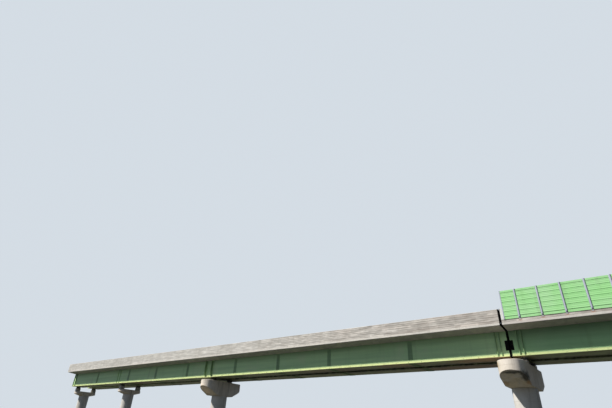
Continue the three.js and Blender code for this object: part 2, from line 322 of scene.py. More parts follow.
class Graph:
    """A material's node tree, laid by short calls that each give an output."""

    def __init__(self, name: str) -> None:
        """Starts a material with its shader and its coordinates in real metres.

        Args:
            name: The material's name.
        """
        self.material = bpy.data.materials.new(name)
        self.material.use_nodes = True
        self.tree = self.material.node_tree
        self.shader = self.tree.nodes["Principled BSDF"]
        source = self.tree.nodes.new("ShaderNodeTexCoord")
        self.facing = source.outputs["Normal"]
        self.place = self.vector("SCALE", source.outputs["Object"])
        self.place.node.inputs["Scale"].default_value = 1 / SCALE

    def put(self, socket: Socket, value: Input) -> None:
        """Links an output to a socket, or sets the socket's own value.

        Args:
            socket: The socket.
            value: An output, a number or a colour.
        """
        if isinstance(value, Socket):
            self.tree.links.new(value, socket)
        elif isinstance(value, tuple) and len(socket.default_value) == 4:
            socket.default_value = (*value, 1.0)
        else:
            socket.default_value = value

    def shade(self, **values: Input) -> None:
        """Puts values on the shader, such as Base_Color or Roughness."""
        for name, value in values.items():
            self.put(self.shader.inputs[name.replace("_", " ")], value)

    def vector(self, operation: str, first: Input, second: Input | None = None) -> Socket:
        """Does one sum on vectors.

        Args:
            operation: The kind of sum.
            first: Its first term.
            second: Its second term, where it has one.

        Returns:
            The result.
        """
        node = self.tree.nodes.new("ShaderNodeVectorMath")
        node.operation = operation
        self.put(node.inputs[0], first)
        if second is not None:
            self.put(node.inputs[1], second)
        return node.outputs[0]

    def length(self, vector: Socket) -> Socket:
        """Gives the length of a vector."""
        return self.vector("LENGTH", vector).node.outputs[1]

    def station(self) -> Socket:
        """Gives the station of the point that is shaded."""
        return self.sum("SUBTRACT", self.part(self.place, Axis.ALONG), JOINT_X / SCALE)

    def height(self) -> Socket:
        """Gives its height over the ground."""
        return self.part(self.place, Axis.UP)

    def tilt(self, low: float, high: float, most: float) -> Socket:
        """Rises to most as the surface's upward share goes from low to high."""
        return self.band(self.part(self.facing, Axis.UP), low, high, most)

    def part(self, vector: Socket, axis: Axis) -> Socket:
        """Picks one coordinate of a vector.

        Args:
            vector: The vector.
            axis: Which coordinate.

        Returns:
            The coordinate.
        """
        node = self.tree.nodes.new("ShaderNodeSeparateXYZ")
        self.put(node.inputs[0], vector)
        return node.outputs[axis.value]

    def sum(self, operation: str, first: Input, second: Input = 0.0, third: Input = 0.0) -> Socket:
        """Does one sum on numbers.

        Args:
            operation: The kind of sum.
            first: Its first term.
            second: Its second term.
            third: Its third term.

        Returns:
            The result.
        """
        node = self.tree.nodes.new("ShaderNodeMath")
        node.operation = operation
        for socket, value in zip(node.inputs, (first, second, third)):
            self.put(socket, value)
        return node.outputs[0]

    def band(self, value: Socket, low: float, high: float, most: float = 1.0) -> Socket:
        """Rises smoothly from nothing at low to most at high; low may be the larger.

        Args:
            value: What is measured.
            low: Where the result is nothing.
            high: Where the result is full.
            most: The full result.

        Returns:
            The result.
        """
        node = self.tree.nodes.new("ShaderNodeMapRange")
        node.interpolation_type = "SMOOTHSTEP"
        turned = low > high
        ends = (high, low, most, 0.0) if turned else (low, high, 0.0, most)
        self.put(node.inputs["Value"], value)
        for name, end in zip(("From Min", "From Max", "To Min", "To Max"), ends):
            node.inputs[name].default_value = end
        return node.outputs[0]

    def swing(self, value: Socket, middle: float, size: float) -> Socket:
        """Swings a number about its middle, over a size, as a value goes from 0 to 1."""
        return self.sum("MULTIPLY_ADD", value, size, middle - size / 2)

    def cells(self, scale: float) -> tuple[Socket, Socket]:
        """Scatters cells.

        Args:
            scale: Cells to a metre.

        Returns:
            The distance from the nearest cell's middle, and a random number of the cell's own.
        """
        node = self.tree.nodes.new("ShaderNodeTexVoronoi")
        self.put(node.inputs["Vector"], self.place)
        node.inputs["Scale"].default_value = scale
        return node.outputs["Distance"], self.part(node.outputs["Color"], Axis.ALONG)

    def spots(self, scale: float, edge: Pair, chance: Pair) -> Socket:
        """Scatters spots: edge is where one fades in from its middle, chance which cells have one."""
        distance, number = self.cells(scale)
        return self.sum("MULTIPLY", self.band(distance, *edge), self.band(number, *chance))

    def chance(self, first: Input, second: Input) -> Socket:
        """Picks a fixed random number for each pair of whole numbers.

        Args:
            first: The first whole number.
            second: The second one.

        Returns:
            A number from 0 to 1.
        """
        node = self.tree.nodes.new("ShaderNodeTexWhiteNoise")
        node.noise_dimensions = "2D"
        pair = self.tree.nodes.new("ShaderNodeCombineXYZ")
        self.put(pair.inputs[0], first)
        self.put(pair.inputs[1], second)
        self.put(node.inputs["Vector"], pair.outputs[0])
        return node.outputs["Value"]

    def mix(self, share: Input, first: Input, second: Input) -> Socket:
        """Mixes two colours.

        Args:
            share: The second colour's share.
            first: The first colour.
            second: The second colour.

        Returns:
            The mixed colour.
        """
        node = self.tree.nodes.new("ShaderNodeMix")
        node.data_type = "RGBA"
        for number, value in zip((0, 6, 7), (share, first, second)):
            self.put(node.inputs[number], value)
        return node.outputs[2]

    def toned(self, colour: Input, value: Socket, low: float, high: float) -> Socket:
        """Makes a colour darker or lighter.

        Args:
            colour: The colour.
            value: A pattern from 0 to 1.
            low: What the colour is multiplied by where the pattern is 0.
            high: What it is multiplied by where the pattern is 1.

        Returns:
            The toned colour.
        """
        node = self.tree.nodes.new("ShaderNodeHueSaturation")
        factor = self.sum("MULTIPLY_ADD", value, high - low, low)
        self.put(node.inputs["Value"], factor)
        self.put(node.inputs["Color"], colour)
        return node.outputs[0]

    def bump(self, height: Socket, relief: Relief) -> None:
        """Raises the surface by a height from 0 to 1, over what was raised before it.

        Args:
            height: The pattern.
            relief: How high it stands.
        """
        node = self.tree.nodes.new("ShaderNodeBump")
        node.inputs["Strength"].default_value = relief.strength
        node.inputs["Distance"].default_value = relief.depth * SCALE
        self.put(node.inputs["Height"], height)
        normal = self.shader.inputs["Normal"]
        if normal.is_linked:
            self.put(node.inputs["Normal"], normal.links[0].from_socket)
        self.put(normal, node.outputs[0])


@dataclass(frozen=True)
class Pattern:
    """Cloudy noise, and the part of its range in which it rises from nothing to full.

    The scale is in clouds to a metre, detail is how many finer layers are added and roughness how
    strong they are, and the coordinates are multiplied by stretch, where it has one.
    """

    scale: float
    detail: float
    roughness: float
    low: float = 0.0
    high: float = 1.0
    stretch: Place | None = None

    def noise(self, graph: Graph) -> Socket:
        """Lays the noise.

        Args:
            graph: The material.

        Returns:
            The noise, from 0 to 1.
        """
        node = graph.tree.nodes.new("ShaderNodeTexNoise")
        place = graph.vector("MULTIPLY", graph.place, self.stretch) if self.stretch else graph.place
        graph.put(node.inputs["Vector"], place)
        values = {"Scale": self.scale, "Detail": self.detail, "Roughness": self.roughness}
        for name, value in values.items():
            node.inputs[name].default_value = value
        return node.outputs[0]

    def share(self, graph: Graph, most: float = 1.0, noise: Socket | None = None) -> Socket:
        """Turns the noise between low and high into a share.

        Args:
            graph: The material.
            most: The full share.
            noise: The noise, where it is laid already.

        Returns:
            The share.
        """
        if noise is None:
            noise = self.noise(graph)
        return graph.band(noise, self.low, self.high, most)


@dataclass(frozen=True)
class Finish:
    """A surface finish, made into a material the first time that it is asked for."""

    name: str

    @cache
    def material(self) -> bpy.types.Material:
        """Makes the finish's material.

        Returns:
            The material, the same one each time.
        """
        graph = Graph(self.name)
        self.lay(graph)
        return graph.material

    def lay(self, graph: Graph) -> None:
        """Lays the finish's nodes; each kind of finish has its own."""
        raise NotImplementedError


@dataclass(frozen=True)
class Patch:
    """A ragged stain round a place on the viaduct."""

    station: float
    across: float
    height: float
    reach: Place
    colour: Colour
    share: float
    rag: Pattern = Pattern(2.5, 5.0, 0.65)
    rag_size: float = 1.2
    edge: Pair = (1.0, 0.3)

    def lay(self, graph: Graph, colour: Input) -> Socket:
        """Stains a colour.

        Args:
            graph: The material.
            colour: The colour so far.

        Returns:
            The stained colour.
        """
        middle = (self.station + JOINT_X / SCALE, self.across, self.height)
        away = graph.vector("DIVIDE", graph.vector("SUBTRACT", graph.place, middle), self.reach)
        ragged = graph.swing(self.rag.noise(graph), 0.0, self.rag_size)
        distance = graph.sum("ADD", graph.length(away), ragged)
        return graph.mix(graph.band(distance, *self.edge, self.share), colour, self.colour)


@dataclass(frozen=True)
class Concrete(Finish):
    """Cast concrete with cloudy tones, pores and runs of rain dirt."""

    tone: Colour = (0.63, 0.615, 0.585)
    cloud: Colour = (0.52, 0.505, 0.475)
    dirt: Colour = (0.16, 0.145, 0.12)
    rust: Colour = (0.36, 0.17, 0.07)
    # The under colour tints downward faces, partly as dirt and partly as painted light: painted shade
    # where it is dark, painted warm bounce light from the ground where it is pale.
    under: Colour = (0.24, 0.22, 0.175)
    runs: float = 0.5
    rust_share: float = 0.25
    underside: float = 0.6
    patches: tuple[Patch, ...] = ()
    clouds: Pattern = Pattern(0.5, 7.0, 0.62, 0.36, 0.66)
    falls: Pattern = Pattern(1.0, 6.0, 0.6, 0.52, 0.74, (2.4, 2.4, 0.17))
    spots: Pattern = Pattern(1.3, 6.0, 0.66, 0.60, 0.76, (1.1, 1.1, 0.45))
    down: Pair = (-0.2, -0.75)
    soot_and_shade: Pattern = Pattern(1.1, 6.0, 0.6, 0.2, 0.6)
    under_clouds: Pattern = Pattern(1.7, 5.0, 0.65)
    under_tones: Pair = (0.45, 1.5)
    grain: Pattern = Pattern(16.0, 6.0, 0.7)
    grain_tones: Pair = (0.86, 1.14)
    grain_relief: Relief = Relief(0.006, 0.7)
    roughness: float = 0.85
    roughness_swing: float = 0.16
    shine: float = 0.35
    pore_scale: float = 24.0
    pore_edge: Pair = (0.16, 0.06)
    pore_chance: Pair = (0.72, 0.74)
    pore_relief: Relief = Relief(0.012, 0.8)

    def boards(self, graph: Graph, colour: Socket) -> Socket:
        """Leaves the colour plain; concrete cast against boards has their marks."""
        return colour

    def lay(self, graph: Graph) -> None:
        """Lays clouds, boards, runs of dirt, rust, an underside tint of dirt and painted light, grain
        and pores.

        Args:
            graph: The material.
        """
        colour = graph.mix(self.clouds.share(graph), self.tone, self.cloud)
        colour = self.boards(graph, colour)
        colour = graph.mix(self.falls.share(graph, self.runs), colour, self.dirt)
        colour = graph.mix(self.spots.share(graph, self.rust_share), colour, self.rust)
        # Painted light on downward faces: the under colour stands partly for dirt and partly for painted
        # shade and painted bounce light.
        underside_dirt_and_light = graph.sum("MULTIPLY", graph.tilt(*self.down, self.underside), self.soot_and_shade.share(graph))
        under = graph.toned(self.under, self.under_clouds.noise(graph), *self.under_tones)
        colour = graph.mix(underside_dirt_and_light, colour, under)
        for patch in self.patches:
            colour = patch.lay(graph, colour)
        grain = self.grain.noise(graph)
        graph.shade(
            Base_Color=graph.toned(colour, grain, *self.grain_tones),
            Roughness=graph.swing(grain, self.roughness, self.roughness_swing),
            Specular_IOR_Level=self.shine,
        )
        graph.bump(grain, self.grain_relief)
        pores = graph.spots(self.pore_scale, self.pore_edge, self.pore_chance)
        graph.bump(graph.sum("SUBTRACT", 1.0, pores), self.pore_relief)


@dataclass(frozen=True)
class ParapetConcrete(Concrete):
    """Board-marked concrete that has weathered to a warmer, darker tone towards the joint."""

    board: float = 0.21
    first_board: float = 12.69
    board_length: float = 1.8
    board_shift: float = 0.37
    board_tones: Pair = (0.83, 1.15)
    dashes: Pattern = Pattern(1.0, 3.0, 0.55, 0.36, 0.64, (0.9, 0.9, 5.0))
    dash_tones: Pair = (1.17, 0.84)
    seam_edge: Pair = (0.33, 0.45)
    seam_breaks: Pattern = Pattern(1.0, 3.0, 0.55, 0.32, 0.58, (0.6, 0.6, 4.0))
    seam_share: float = 0.85
    seam_relief: Relief = Relief(0.006, 0.6)
    faint: float = 0.65
    faint_run: Pair = (-50.0, -12.0)
    warm: Colour = (0.74, 0.66, 0.63)
    warm_share: float = 0.72
    warm_run: Pair = (-48.0, 0.0)
    warm_patches: Pattern = Pattern(1.0, 5.0, 0.6, 0.18, 0.72, (0.22, 0.22, 1.2))
    mark: Colour = (0.36, 0.22, 0.17)
    mark_share: float = 0.7
    mark_edge: Pair = (0.36, 0.48)
    mark_start: float = 0.1
    mark_drop: Pair = (12.95, 12.89)

    def boards(self, graph: Graph, colour: Socket) -> Socket:
        """Marks the boards of the mould: each has its own tone and a broken dark seam.

        Args:
            graph: The material.
            colour: The colour so far.

        Returns:
            The marked colour; the marks are fainter away from the joint.
        """
        row = graph.sum("DIVIDE", graph.sum("SUBTRACT", graph.height(), self.first_board), self.board)
        number = graph.sum("FLOOR", row)
        shift = graph.sum("MULTIPLY", number, self.board_shift)
        along = graph.sum("DIVIDE", graph.part(graph.place, Axis.ALONG), self.board_length)
        length = graph.sum("FLOOR", graph.sum("ADD", along, shift))
        marked = graph.toned(colour, graph.chance(number, length), *self.board_tones)
        marked = graph.toned(marked, self.dashes.share(graph), *self.dash_tones)
        middle = graph.sum("ABSOLUTE", graph.sum("SUBTRACT", graph.sum("FRACT", row), 0.5))
        seam = graph.band(middle, *self.seam_edge)
        graph.bump(graph.sum("SUBTRACT", 1.0, seam), self.seam_relief)
        broken = self.seam_breaks.share(graph, self.seam_share)
        marked = graph.mix(graph.sum("MULTIPLY", seam, broken), marked, self.dirt)
        strong = graph.band(graph.station(), *self.faint_run, 1.0 - self.faint)
        return graph.mix(graph.sum("ADD", strong, self.faint), colour, marked)

    def lay(self, graph: Graph) -> None:
        """Lays the concrete, warms it towards the joint and stains it under the barrier's posts.

        Args:
            graph: The material.
        """
        super().lay(graph)
        base = graph.shader.inputs["Base Color"]
        colour = base.links[0].from_socket
        station = graph.station()
        share = graph.band(station, *self.warm_run, self.warm_share)
        uneven = graph.sum("MULTIPLY", share, self.warm_patches.share(graph))
        colour = graph.mix(uneven, colour, graph.vector("MULTIPLY", colour, self.warm))
        past = graph.sum("SUBTRACT", station, FIRST_POST - POST_PITCH / 2)
        place = graph.sum("PINGPONG", graph.sum("DIVIDE", past, POST_PITCH), 0.5)
        started = graph.band(past, 0.0, self.mark_start)
        mark = graph.sum("MULTIPLY", graph.band(place, *self.mark_edge), started)
        low = graph.band(graph.height(), *self.mark_drop, self.mark_share)
        graph.put(base, graph.mix(graph.sum("MULTIPLY", mark, low), colour, self.mark))


STREAKS = Pattern(1.0, 6.0, 0.62, 0.34, 0.68, (0.08, 0.08, 2.2))


@dataclass(frozen=True)
class Paint(Finish):
    """Brushed steel paint with long streaks, chalky patches, dirt runs and a few rust spots, and, where
    a finish sets them, painted light: a painted sunlit strip low on the web, painted shade towards the
    top and painted shade with a painted brown reflection on undersides.
    """

    tone: Colour = (0.49, 0.60, 0.32)
    streak: Colour = (0.41, 0.53, 0.28)
    chalk: Colour = (0.56, 0.65, 0.41)
    chalk_share: float = 0.4
    grime_and_shade: Colour = (0.10, 0.11, 0.065)
    grime_share: float = 0.35
    rust: Colour = (0.28, 0.10, 0.035)
    rust_share: float = 0.5
    # The underside share darkens and browns downward faces: partly dust and rust, partly painted shade
    # and a painted brown reflection from the ground.
    underside: float = 0.5
    # Painted sunlit strip: a paler, yellower band low on the web stands for the sunlight below the
    # deck's shadow.
    sunlit_strip: Colour = (0.50, 0.555, 0.30)
    sunlit_strip_share: float = 0.0
    sunlit_strip_run: Pair = (10.12, 10.02)
    # Painted shade: a darker colour towards the top of the web stands for the shade under the deck's
    # overhang.
    soot_and_shade: Colour = (0.08, 0.13, 0.07)
    top_shade_share: float = 0.0
    top_shade_run: Pair = (11.3, 12.3)
    patches: tuple[Patch, ...] = ()
    streaks: Pattern = STREAKS
    chalk_clouds: Pattern = Pattern(0.33, 6.0, 0.6, 0.52, 0.74)
    falls: Pattern = Pattern(1.0, 6.0, 0.6, 0.52, 0.84, (1.6, 1.6, 0.12))
    down: Pair = (-0.3, -0.8)
    dust: Pattern = Pattern(1.0, 6.0, 0.65, 0.2, 0.62, (0.35, 1.3, 1.0))
    dust_rust: Pair = (0.52, 0.72)
    spot_scale: float = 2.4
    spot_edge: Pair = (0.11, 0.03)
    spot_chance: Pair = (0.90, 0.93)
    grain: Pattern = Pattern(22.0, 5.0, 0.6)
    grain_tones: Pair = (0.95, 1.05)
    grain_relief: Relief = Relief(0.0015, 0.4)
    roughness: float = 0.48
    roughness_swing: float = 0.24
    shine: float = 0.4
    waves: Pattern = Pattern(1.6, 3.0, 0.55)
    wave_relief: Relief = Relief(0.006, 0.3)

    def lay(self, graph: Graph) -> None:
        """Lays streaks, chalk, dirt runs, a painted sunlit strip, painted shade towards the top, an
        underside of dust and rust with painted shade and a painted brown reflection, and a brushed
        surface.

        Args:
            graph: The material.
        """
        streaks, dust = self.streaks.noise(graph), self.dust.noise(graph)
        colour = graph.mix(self.streaks.share(graph, noise=streaks), self.tone, self.streak)
        colour = graph.mix(self.chalk_clouds.share(graph, self.chalk_share), colour, self.chalk)
        height = graph.height()
        # Painted sunlit strip: the lowest part of the web is made paler and yellower.
        low = graph.band(height, *self.sunlit_strip_run, self.sunlit_strip_share)
        colour = graph.mix(low, colour, self.sunlit_strip)
        colour = graph.mix(self.falls.share(graph, self.grime_share), colour, self.grime_and_shade)
        # Painted shade towards the top of the web, under the deck.
        painted_top_shade = graph.band(height, *self.top_shade_run, self.top_shade_share)
        colour = graph.mix(painted_top_shade, colour, self.soot_and_shade)
        # Downward faces: dust and rust, together with painted shade and a painted brown reflection from
        # the ground.
        down = graph.tilt(*self.down, self.underside)
        dust_and_shade_below = graph.sum("MULTIPLY", down, self.dust.share(graph, noise=dust))
        colour = graph.mix(dust_and_shade_below, colour, self.grime_and_shade)
        rust_and_reflection_below = graph.sum("MULTIPLY", down, graph.band(dust, *self.dust_rust))
        colour = graph.mix(rust_and_reflection_below, colour, self.rust)
        for patch in self.patches:
            colour = patch.lay(graph, colour)
        spots = graph.spots(self.spot_scale, self.spot_edge, self.spot_chance)
        colour = graph.mix(graph.sum("MULTIPLY", spots, self.rust_share), colour, self.rust)
        grain = self.grain.noise(graph)
        graph.shade(
            Base_Color=graph.toned(colour, grain, *self.grain_tones),
            Roughness=graph.swing(streaks, self.roughness, self.roughness_swing),
            Specular_IOR_Level=self.shine,
        )
        graph.bump(grain, self.grain_relief)
        graph.bump(self.waves.noise(graph), self.wave_relief)


@dataclass(frozen=True)
class Metal(Finish):
    """Zinc-coated or bare steel with a crystal pattern and dull, rusty patches."""

    tone: Colour = (0.52, 0.53, 0.53)
    dull: Colour = (0.34, 0.35, 0.36)
    dull_share: float = 0.5
    rust: Colour = (0.26, 0.11, 0.05)
    rust_share: float = 0.2
    crystal_scale: float = 30.0
    crystal_tones: Pair = (0.94, 1.08)
    clouds: Pattern = Pattern(2.2, 6.0, 0.62, 0.48, 0.7)
    spots: Pattern = Pattern(5.5, 7.0, 0.68, 0.58, 0.72)
    spot_relief: Relief = Relief(0.0012, 0.5)
    metallic: float = 0.6
    roughness: float = 0.46
    roughness_swing: float = 0.3

    def lay(self, graph: Graph) -> None:
        """Lays crystals, dull clouds and rust.

        Args:
            graph: The material.
        """
        _, number = graph.cells(self.crystal_scale)
        colour = graph.mix(number, self.tone, self.dull)
        colour = graph.toned(colour, number, *self.crystal_tones)
        clouds, spots = self.clouds.noise(graph), self.spots.noise(graph)
        colour = graph.mix(self.clouds.share(graph, self.dull_share, clouds), colour, self.dull)
        colour = graph.mix(self.spots.share(graph, self.rust_share, spots), colour, self.rust)
        roughness = graph.swing(clouds, self.roughness, self.roughness_swing)
        graph.shade(Base_Color=colour, Metallic=self.metallic, Roughness=roughness)
        graph.bump(spots, self.spot_relief)


@dataclass(frozen=True)
class Rubber(Finish):
    """Black rubber with dust on it and fine cracks of age."""

    tone: Colour = (0.022, 0.021, 0.02)
    dust: Colour = (0.13, 0.12, 0.105)
    dust_share: float = 0.4
    top_share: float = 0.5
    top: Pair = (0.1, 0.8)
    clouds: Pattern = Pattern(7.0, 6.0, 0.65, 0.45, 0.75)
    cracks: Pattern = Pattern(40.0, 5.0, 0.7)
    crack_relief: Relief = Relief(0.002, 0.6)
    roughness: float = 0.75
    roughness_swing: float = 0.3
    shine: float = 0.5

    def lay(self, graph: Graph) -> None:
        """Lays dust, mostly on top, and a cracked surface.

        Args:
            graph: The material.
        """
        clouds = self.clouds.noise(graph)
        colour = graph.mix(self.clouds.share(graph, self.dust_share, clouds), self.tone, self.dust)
        graph.shade(
            Base_Color=graph.mix(graph.tilt(*self.top, self.top_share), colour, self.dust),
            Roughness=graph.swing(clouds, self.roughness, self.roughness_swing),
            Specular_IOR_Level=self.shine,
        )
        graph.bump(self.cracks.noise(graph), self.crack_relief)


@dataclass(frozen=True)
class FloorFinish(Finish):
    """A plain pale studio floor with a hardly visible mottle."""

    tone: Colour = (0.50, 0.495, 0.48)
    mottle: Colour = (0.46, 0.455, 0.445)
    clouds: Pattern = Pattern(0.05, 5.0, 0.6)
    roughness: float = 0.9

    def lay(self, graph: Graph) -> None:
        """Lays the mottle."""
        colour = graph.mix(self.clouds.noise(graph), self.tone, self.mottle)
        graph.shade(Base_Color=colour, Roughness=self.roughness)


TAN = (0.46, 0.33, 0.18)
ORANGE = (0.42, 0.23, 0.09)
BROWN = (0.27, 0.145, 0.085)
RUSTY = (0.44, 0.26, 0.125)
# Soot; on the crosshead it also serves as painted shade along the shaded +X edge.
SOOT_AND_SHADE = (0.06, 0.058, 0.046)
DULL = (0.47, 0.43, 0.36)
# Painted bounce light: a pale sandy colour for light thrown up from the sunlit ground.
BOUNCE_LIGHT = (0.90, 0.72, 0.52)
# Painted shade: near-black for the shade between the girders and over the bearings.
BLACK_SHADE = (0.022, 0.026, 0.016)
SHADE_BETWEEN_GIRDERS = Patch(-20.0, 0.0, 10.8, (80.0, 1.6, 3.0), BLACK_SHADE, 0.95)
PIER_CONCRETE = Concrete("weathered_pier_concrete", runs=0.35, underside=0.72)
CROSSHEAD_CONCRETE = Concrete(
    "stained_crosshead_concrete",
    tone=(0.71, 0.65, 0.58),
    cloud=(0.59, 0.535, 0.465),
    runs=0.55,
    underside=0.75,
    # Painted bounce light: the warm, pale under colour stands for light thrown up from the sunlit
    # ground, with some dirt.
    under=(0.60, 0.51, 0.35),
    patches=(
        Patch(-1.1, -4.3, 8.9, (0.55, 0.8, 0.9), DULL, 0.65),
        Patch(-1.15, -4.1, 8.75, (0.35, 0.5, 0.6), TAN, 0.75),
        Patch(0.1, -4.6, 9.34, (1.3, 0.9, 0.12), BROWN, 0.6),
        # Painted shade along the lower edge of the crosshead's shaded +X side.
        Patch(1.0, -3.6, 7.9, (0.5, 1.5, 0.75), SOOT_AND_SHADE, 0.95),
        Patch(1.15, -2.9, 7.4, (0.4, 0.6, 0.35), ORANGE, 0.6),
        Patch(-0.95, -2.9, 7.4, (0.4, 0.6, 0.4), ORANGE, 0.5),
        Patch(0.2, -4.7, 8.12, (1.5, 0.7, 0.2), SOOT_AND_SHADE, 0.88),
        # Painted bounce light under the crosshead at station -45.
        Patch(-45.2, -2.9, 8.0, (1.4, 2.2, 1.0), BOUNCE_LIGHT, 0.9),
        Patch(-44.0, 3.2, 8.9, (0.5, 0.6, 0.8), BROWN, 0.8),
    ),
)
SEAT_CONCRETE = Concrete("bearing_seat_concrete", tone=(0.50, 0.48, 0.44), runs=0.65, rust_share=0.4)
DECK_CONCRETE = Concrete(
    "weathered_deck_concrete",
    tone=(0.60, 0.575, 0.53),
    runs=0.25,
    # Painted shade: the darker under colour on the soffit stands partly for dirt and partly for the
    # shade under the deck, and the patch is painted shade between the girders.
    underside=0.85,
    under=(0.40, 0.39, 0.375),
    patches=(SHADE_BETWEEN_GIRDERS,),
)
DECK_FINISHES = {
    Unit.LEFT: DECK_CONCRETE,
    Unit.RIGHT: replace(DECK_CONCRETE, name="darker_deck_concrete", tone=(0.48, 0.44, 0.42)),
}
PARAPET_CONCRETE = ParapetConcrete(
    "board_marked_concrete",
    tone=(0.535, 0.523, 0.497),
    cloud=(0.473, 0.46, 0.432),
    runs=0.2,
    rust_share=0.12,
)
END_MORTAR = Concrete(
    "parapet_end_mortar", tone=(0.66, 0.68, 0.66), cloud=(0.56, 0.58, 0.56), runs=0.2
)
TRACK_CONCRETE = Concrete(
    "track_slab_concrete", tone=(0.40, 0.385, 0.36), cloud=(0.31, 0.295, 0.27), runs=0.1
)
TROUGH_CONCRETE = Concrete(
    "trough_concrete", tone=(0.45, 0.44, 0.42), cloud=(0.36, 0.35, 0.33), runs=0.1
)
# Rust stains on the flange soffits, with painted black shade over the bearings and between the girders.
GIRDER_RUST_AND_SHADE = (
    Patch(-2.5, -1.7, 9.82, (5.5, 2.2, 0.06), RUSTY, 0.95),
    Patch(-12.8, -1.7, 9.82, (3.6, 2.2, 0.06), RUSTY, 0.6),
    Patch(-22.0, -1.7, 9.82, (7.0, 2.2, 0.06), BROWN, 0.5),
    Patch(-6.0, 1.7, 9.82, (9.0, 2.2, 0.06), BROWN, 0.85),
    Patch(-66.0, -1.7, 9.82, (7.0, 2.0, 0.06), BROWN, 0.8),
    # Painted shade over the bearings at the joint pier and at station -45, and between the girders.
    Patch(0.0, -1.2, 9.8, (2.2, 2.6, 0.05), BLACK_SHADE, 0.9),
    Patch(-45.0, 0.0, 9.8, (2.2, 3.4, 0.05), BLACK_SHADE, 0.9),
    SHADE_BETWEEN_GIRDERS,
)
# The girders' paint carries painted light: a painted sunlit strip, painted shade towards the top of the
# webs and on the soffits, and painted black shade over the bearings and between the girders.
GIRDER_GREEN = Paint(
    "girder_paint",
    tone=(0.49, 0.72, 0.37),
    streak=(0.41, 0.63, 0.32),
    grime_share=0.22,
    underside=0.7,
    sunlit_strip=(0.58, 0.64, 0.31),
    sunlit_strip_share=0.9,
    top_shade_share=0.45,
    patches=GIRDER_RUST_AND_SHADE,
)
# The right unit's paint is a darker copy of the same paint, as painted shade, with more painted shade
# towards the top of its webs.
SHADED_GREEN = replace(
    GIRDER_GREEN,
    name="shaded_girder_paint",
    tone=(0.37, 0.62, 0.30),
    streak=(0.305, 0.535, 0.255),
    chalk=(0.44, 0.65, 0.36),
    grime_and_shade=(0.10, 0.13, 0.06),
    sunlit_strip=(0.48, 0.535, 0.26),
    top_shade_share=0.72,
    top_shade_run=(10.6, 12.3),
)
GIRDER_FINISHES = {Unit.LEFT: GIRDER_GREEN, Unit.RIGHT: SHADED_GREEN}
# Darker paint for the splice plates; on the deep bearing stiffeners it also serves as painted shade.
SPLICE_GREEN_AND_SHADE = Paint(
    "splice_paint_and_shade",
    tone=(0.24, 0.38, 0.19),
    streak=(0.20, 0.33, 0.165),
    chalk=(0.30, 0.43, 0.24),
)
PANEL_GREEN = Paint(
    "barrier_panel_paint",
    tone=(0.29, 0.62, 0.25),
    streak=(0.32, 0.61, 0.29),
    chalk=(0.37, 0.62, 0.35),
    grime_and_shade=(0.12, 0.20, 0.09),
    grime_share=0.25,
    rust_share=0.0,
    underside=0.2,
    streaks=replace(STREAKS, stretch=(0.5, 0.5, 0.9)),
    roughness=0.42,
)
POST_GREY = Paint(
    "barrier_post_paint",
    tone=(0.42, 0.44, 0.54),
    streak=(0.36, 0.385, 0.48),
    chalk=(0.50, 0.51, 0.60),
    grime_share=0.3,
    streaks=replace(STREAKS, stretch=(2.0, 2.0, 0.4)),
)
ZINC = Metal("zinc_coated_steel")
OLD_STEEL = Metal("old_steel", tone=(0.24, 0.235, 0.225), dull=(0.15, 0.145, 0.14), rust_share=0.75)
BEARING_RUBBER = Rubber("black_rubber")
# Painted shade: the joint rubber is blacker than rubber, so that the seals and sheets in the joint read
# as the black shade inside it.
JOINT_RUBBER_AND_SHADE = Rubber(
    "joint_rubber_and_shade", tone=(0.004, 0.004, 0.004), dust=(0.014, 0.013, 0.011), shine=0.15
)


class Piece:
    """A named piece of the viaduct: closed solids in one mesh, each with its finish."""

    def __init__(self, name: str, body: str, slot: str) -> None:
        """Starts an empty piece.

        Args:
            name: The piece's name.
            body: The body that it rides on.
            slot: The slot of the frame that its finish stands for; it is stored but not used.
        """
        self.name, self.body, self.slot = name, body, slot
        self.corners: list[np.ndarray] = []
        self.faces: list[tuple[int, ...]] = []
        self.finish_numbers: list[int] = []
        self.finishes: list[Finish] = []
        self.count = 0

    def add(self, solid: Solid, finish: Finish, places: Iterable[Place] = ((0.0, 0.0, 0.0),)) -> None:
        """Adds a solid, once at each place.

        Args:
            solid: The solid.
            finish: What it is finished in.
            places: How far each copy is moved.
        """
        if finish not in self.finishes:
            self.finishes.append(finish)
        number = self.finishes.index(finish)
        for place in places:
            self.corners.append(solid.corners + np.array(place))
            self.faces.extend(tuple(self.count + c for c in face) for face in solid.faces)
            self.finish_numbers.extend([number] * len(solid.faces))
            self.count += len(solid.corners)

    def make(self, *replaced: str) -> bpy.types.Object:
        """Makes the mesh and puts it on its body.

        Args:
            replaced: Nodes of the frame that the piece stands for.

        Returns:
            The piece's object.
        """
        mesh = bpy.data.meshes.new(self.name)
        corners = np.vstack(self.corners) * SCALE + np.array((JOINT_X, 0.0, 0.0))
        mesh.from_pydata(corners.tolist(), [], self.faces)
        for finish in self.finishes:
            mesh.materials.append(finish.material())
        mesh.polygons.foreach_set("material_index", self.finish_numbers)
        mesh.shade_smooth()
        mesh.set_sharp_from_angle(angle=SHARP_ANGLE)
        piece = bpy.data.objects.new(self.name, mesh)
        bpy.context.scene.collection.objects.link(piece)
        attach(piece, self.body)
        if replaced:
            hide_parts(*replaced)
        LOG.info("%s: %d faces on %s", self.name, len(self.faces), self.body)
        return piece


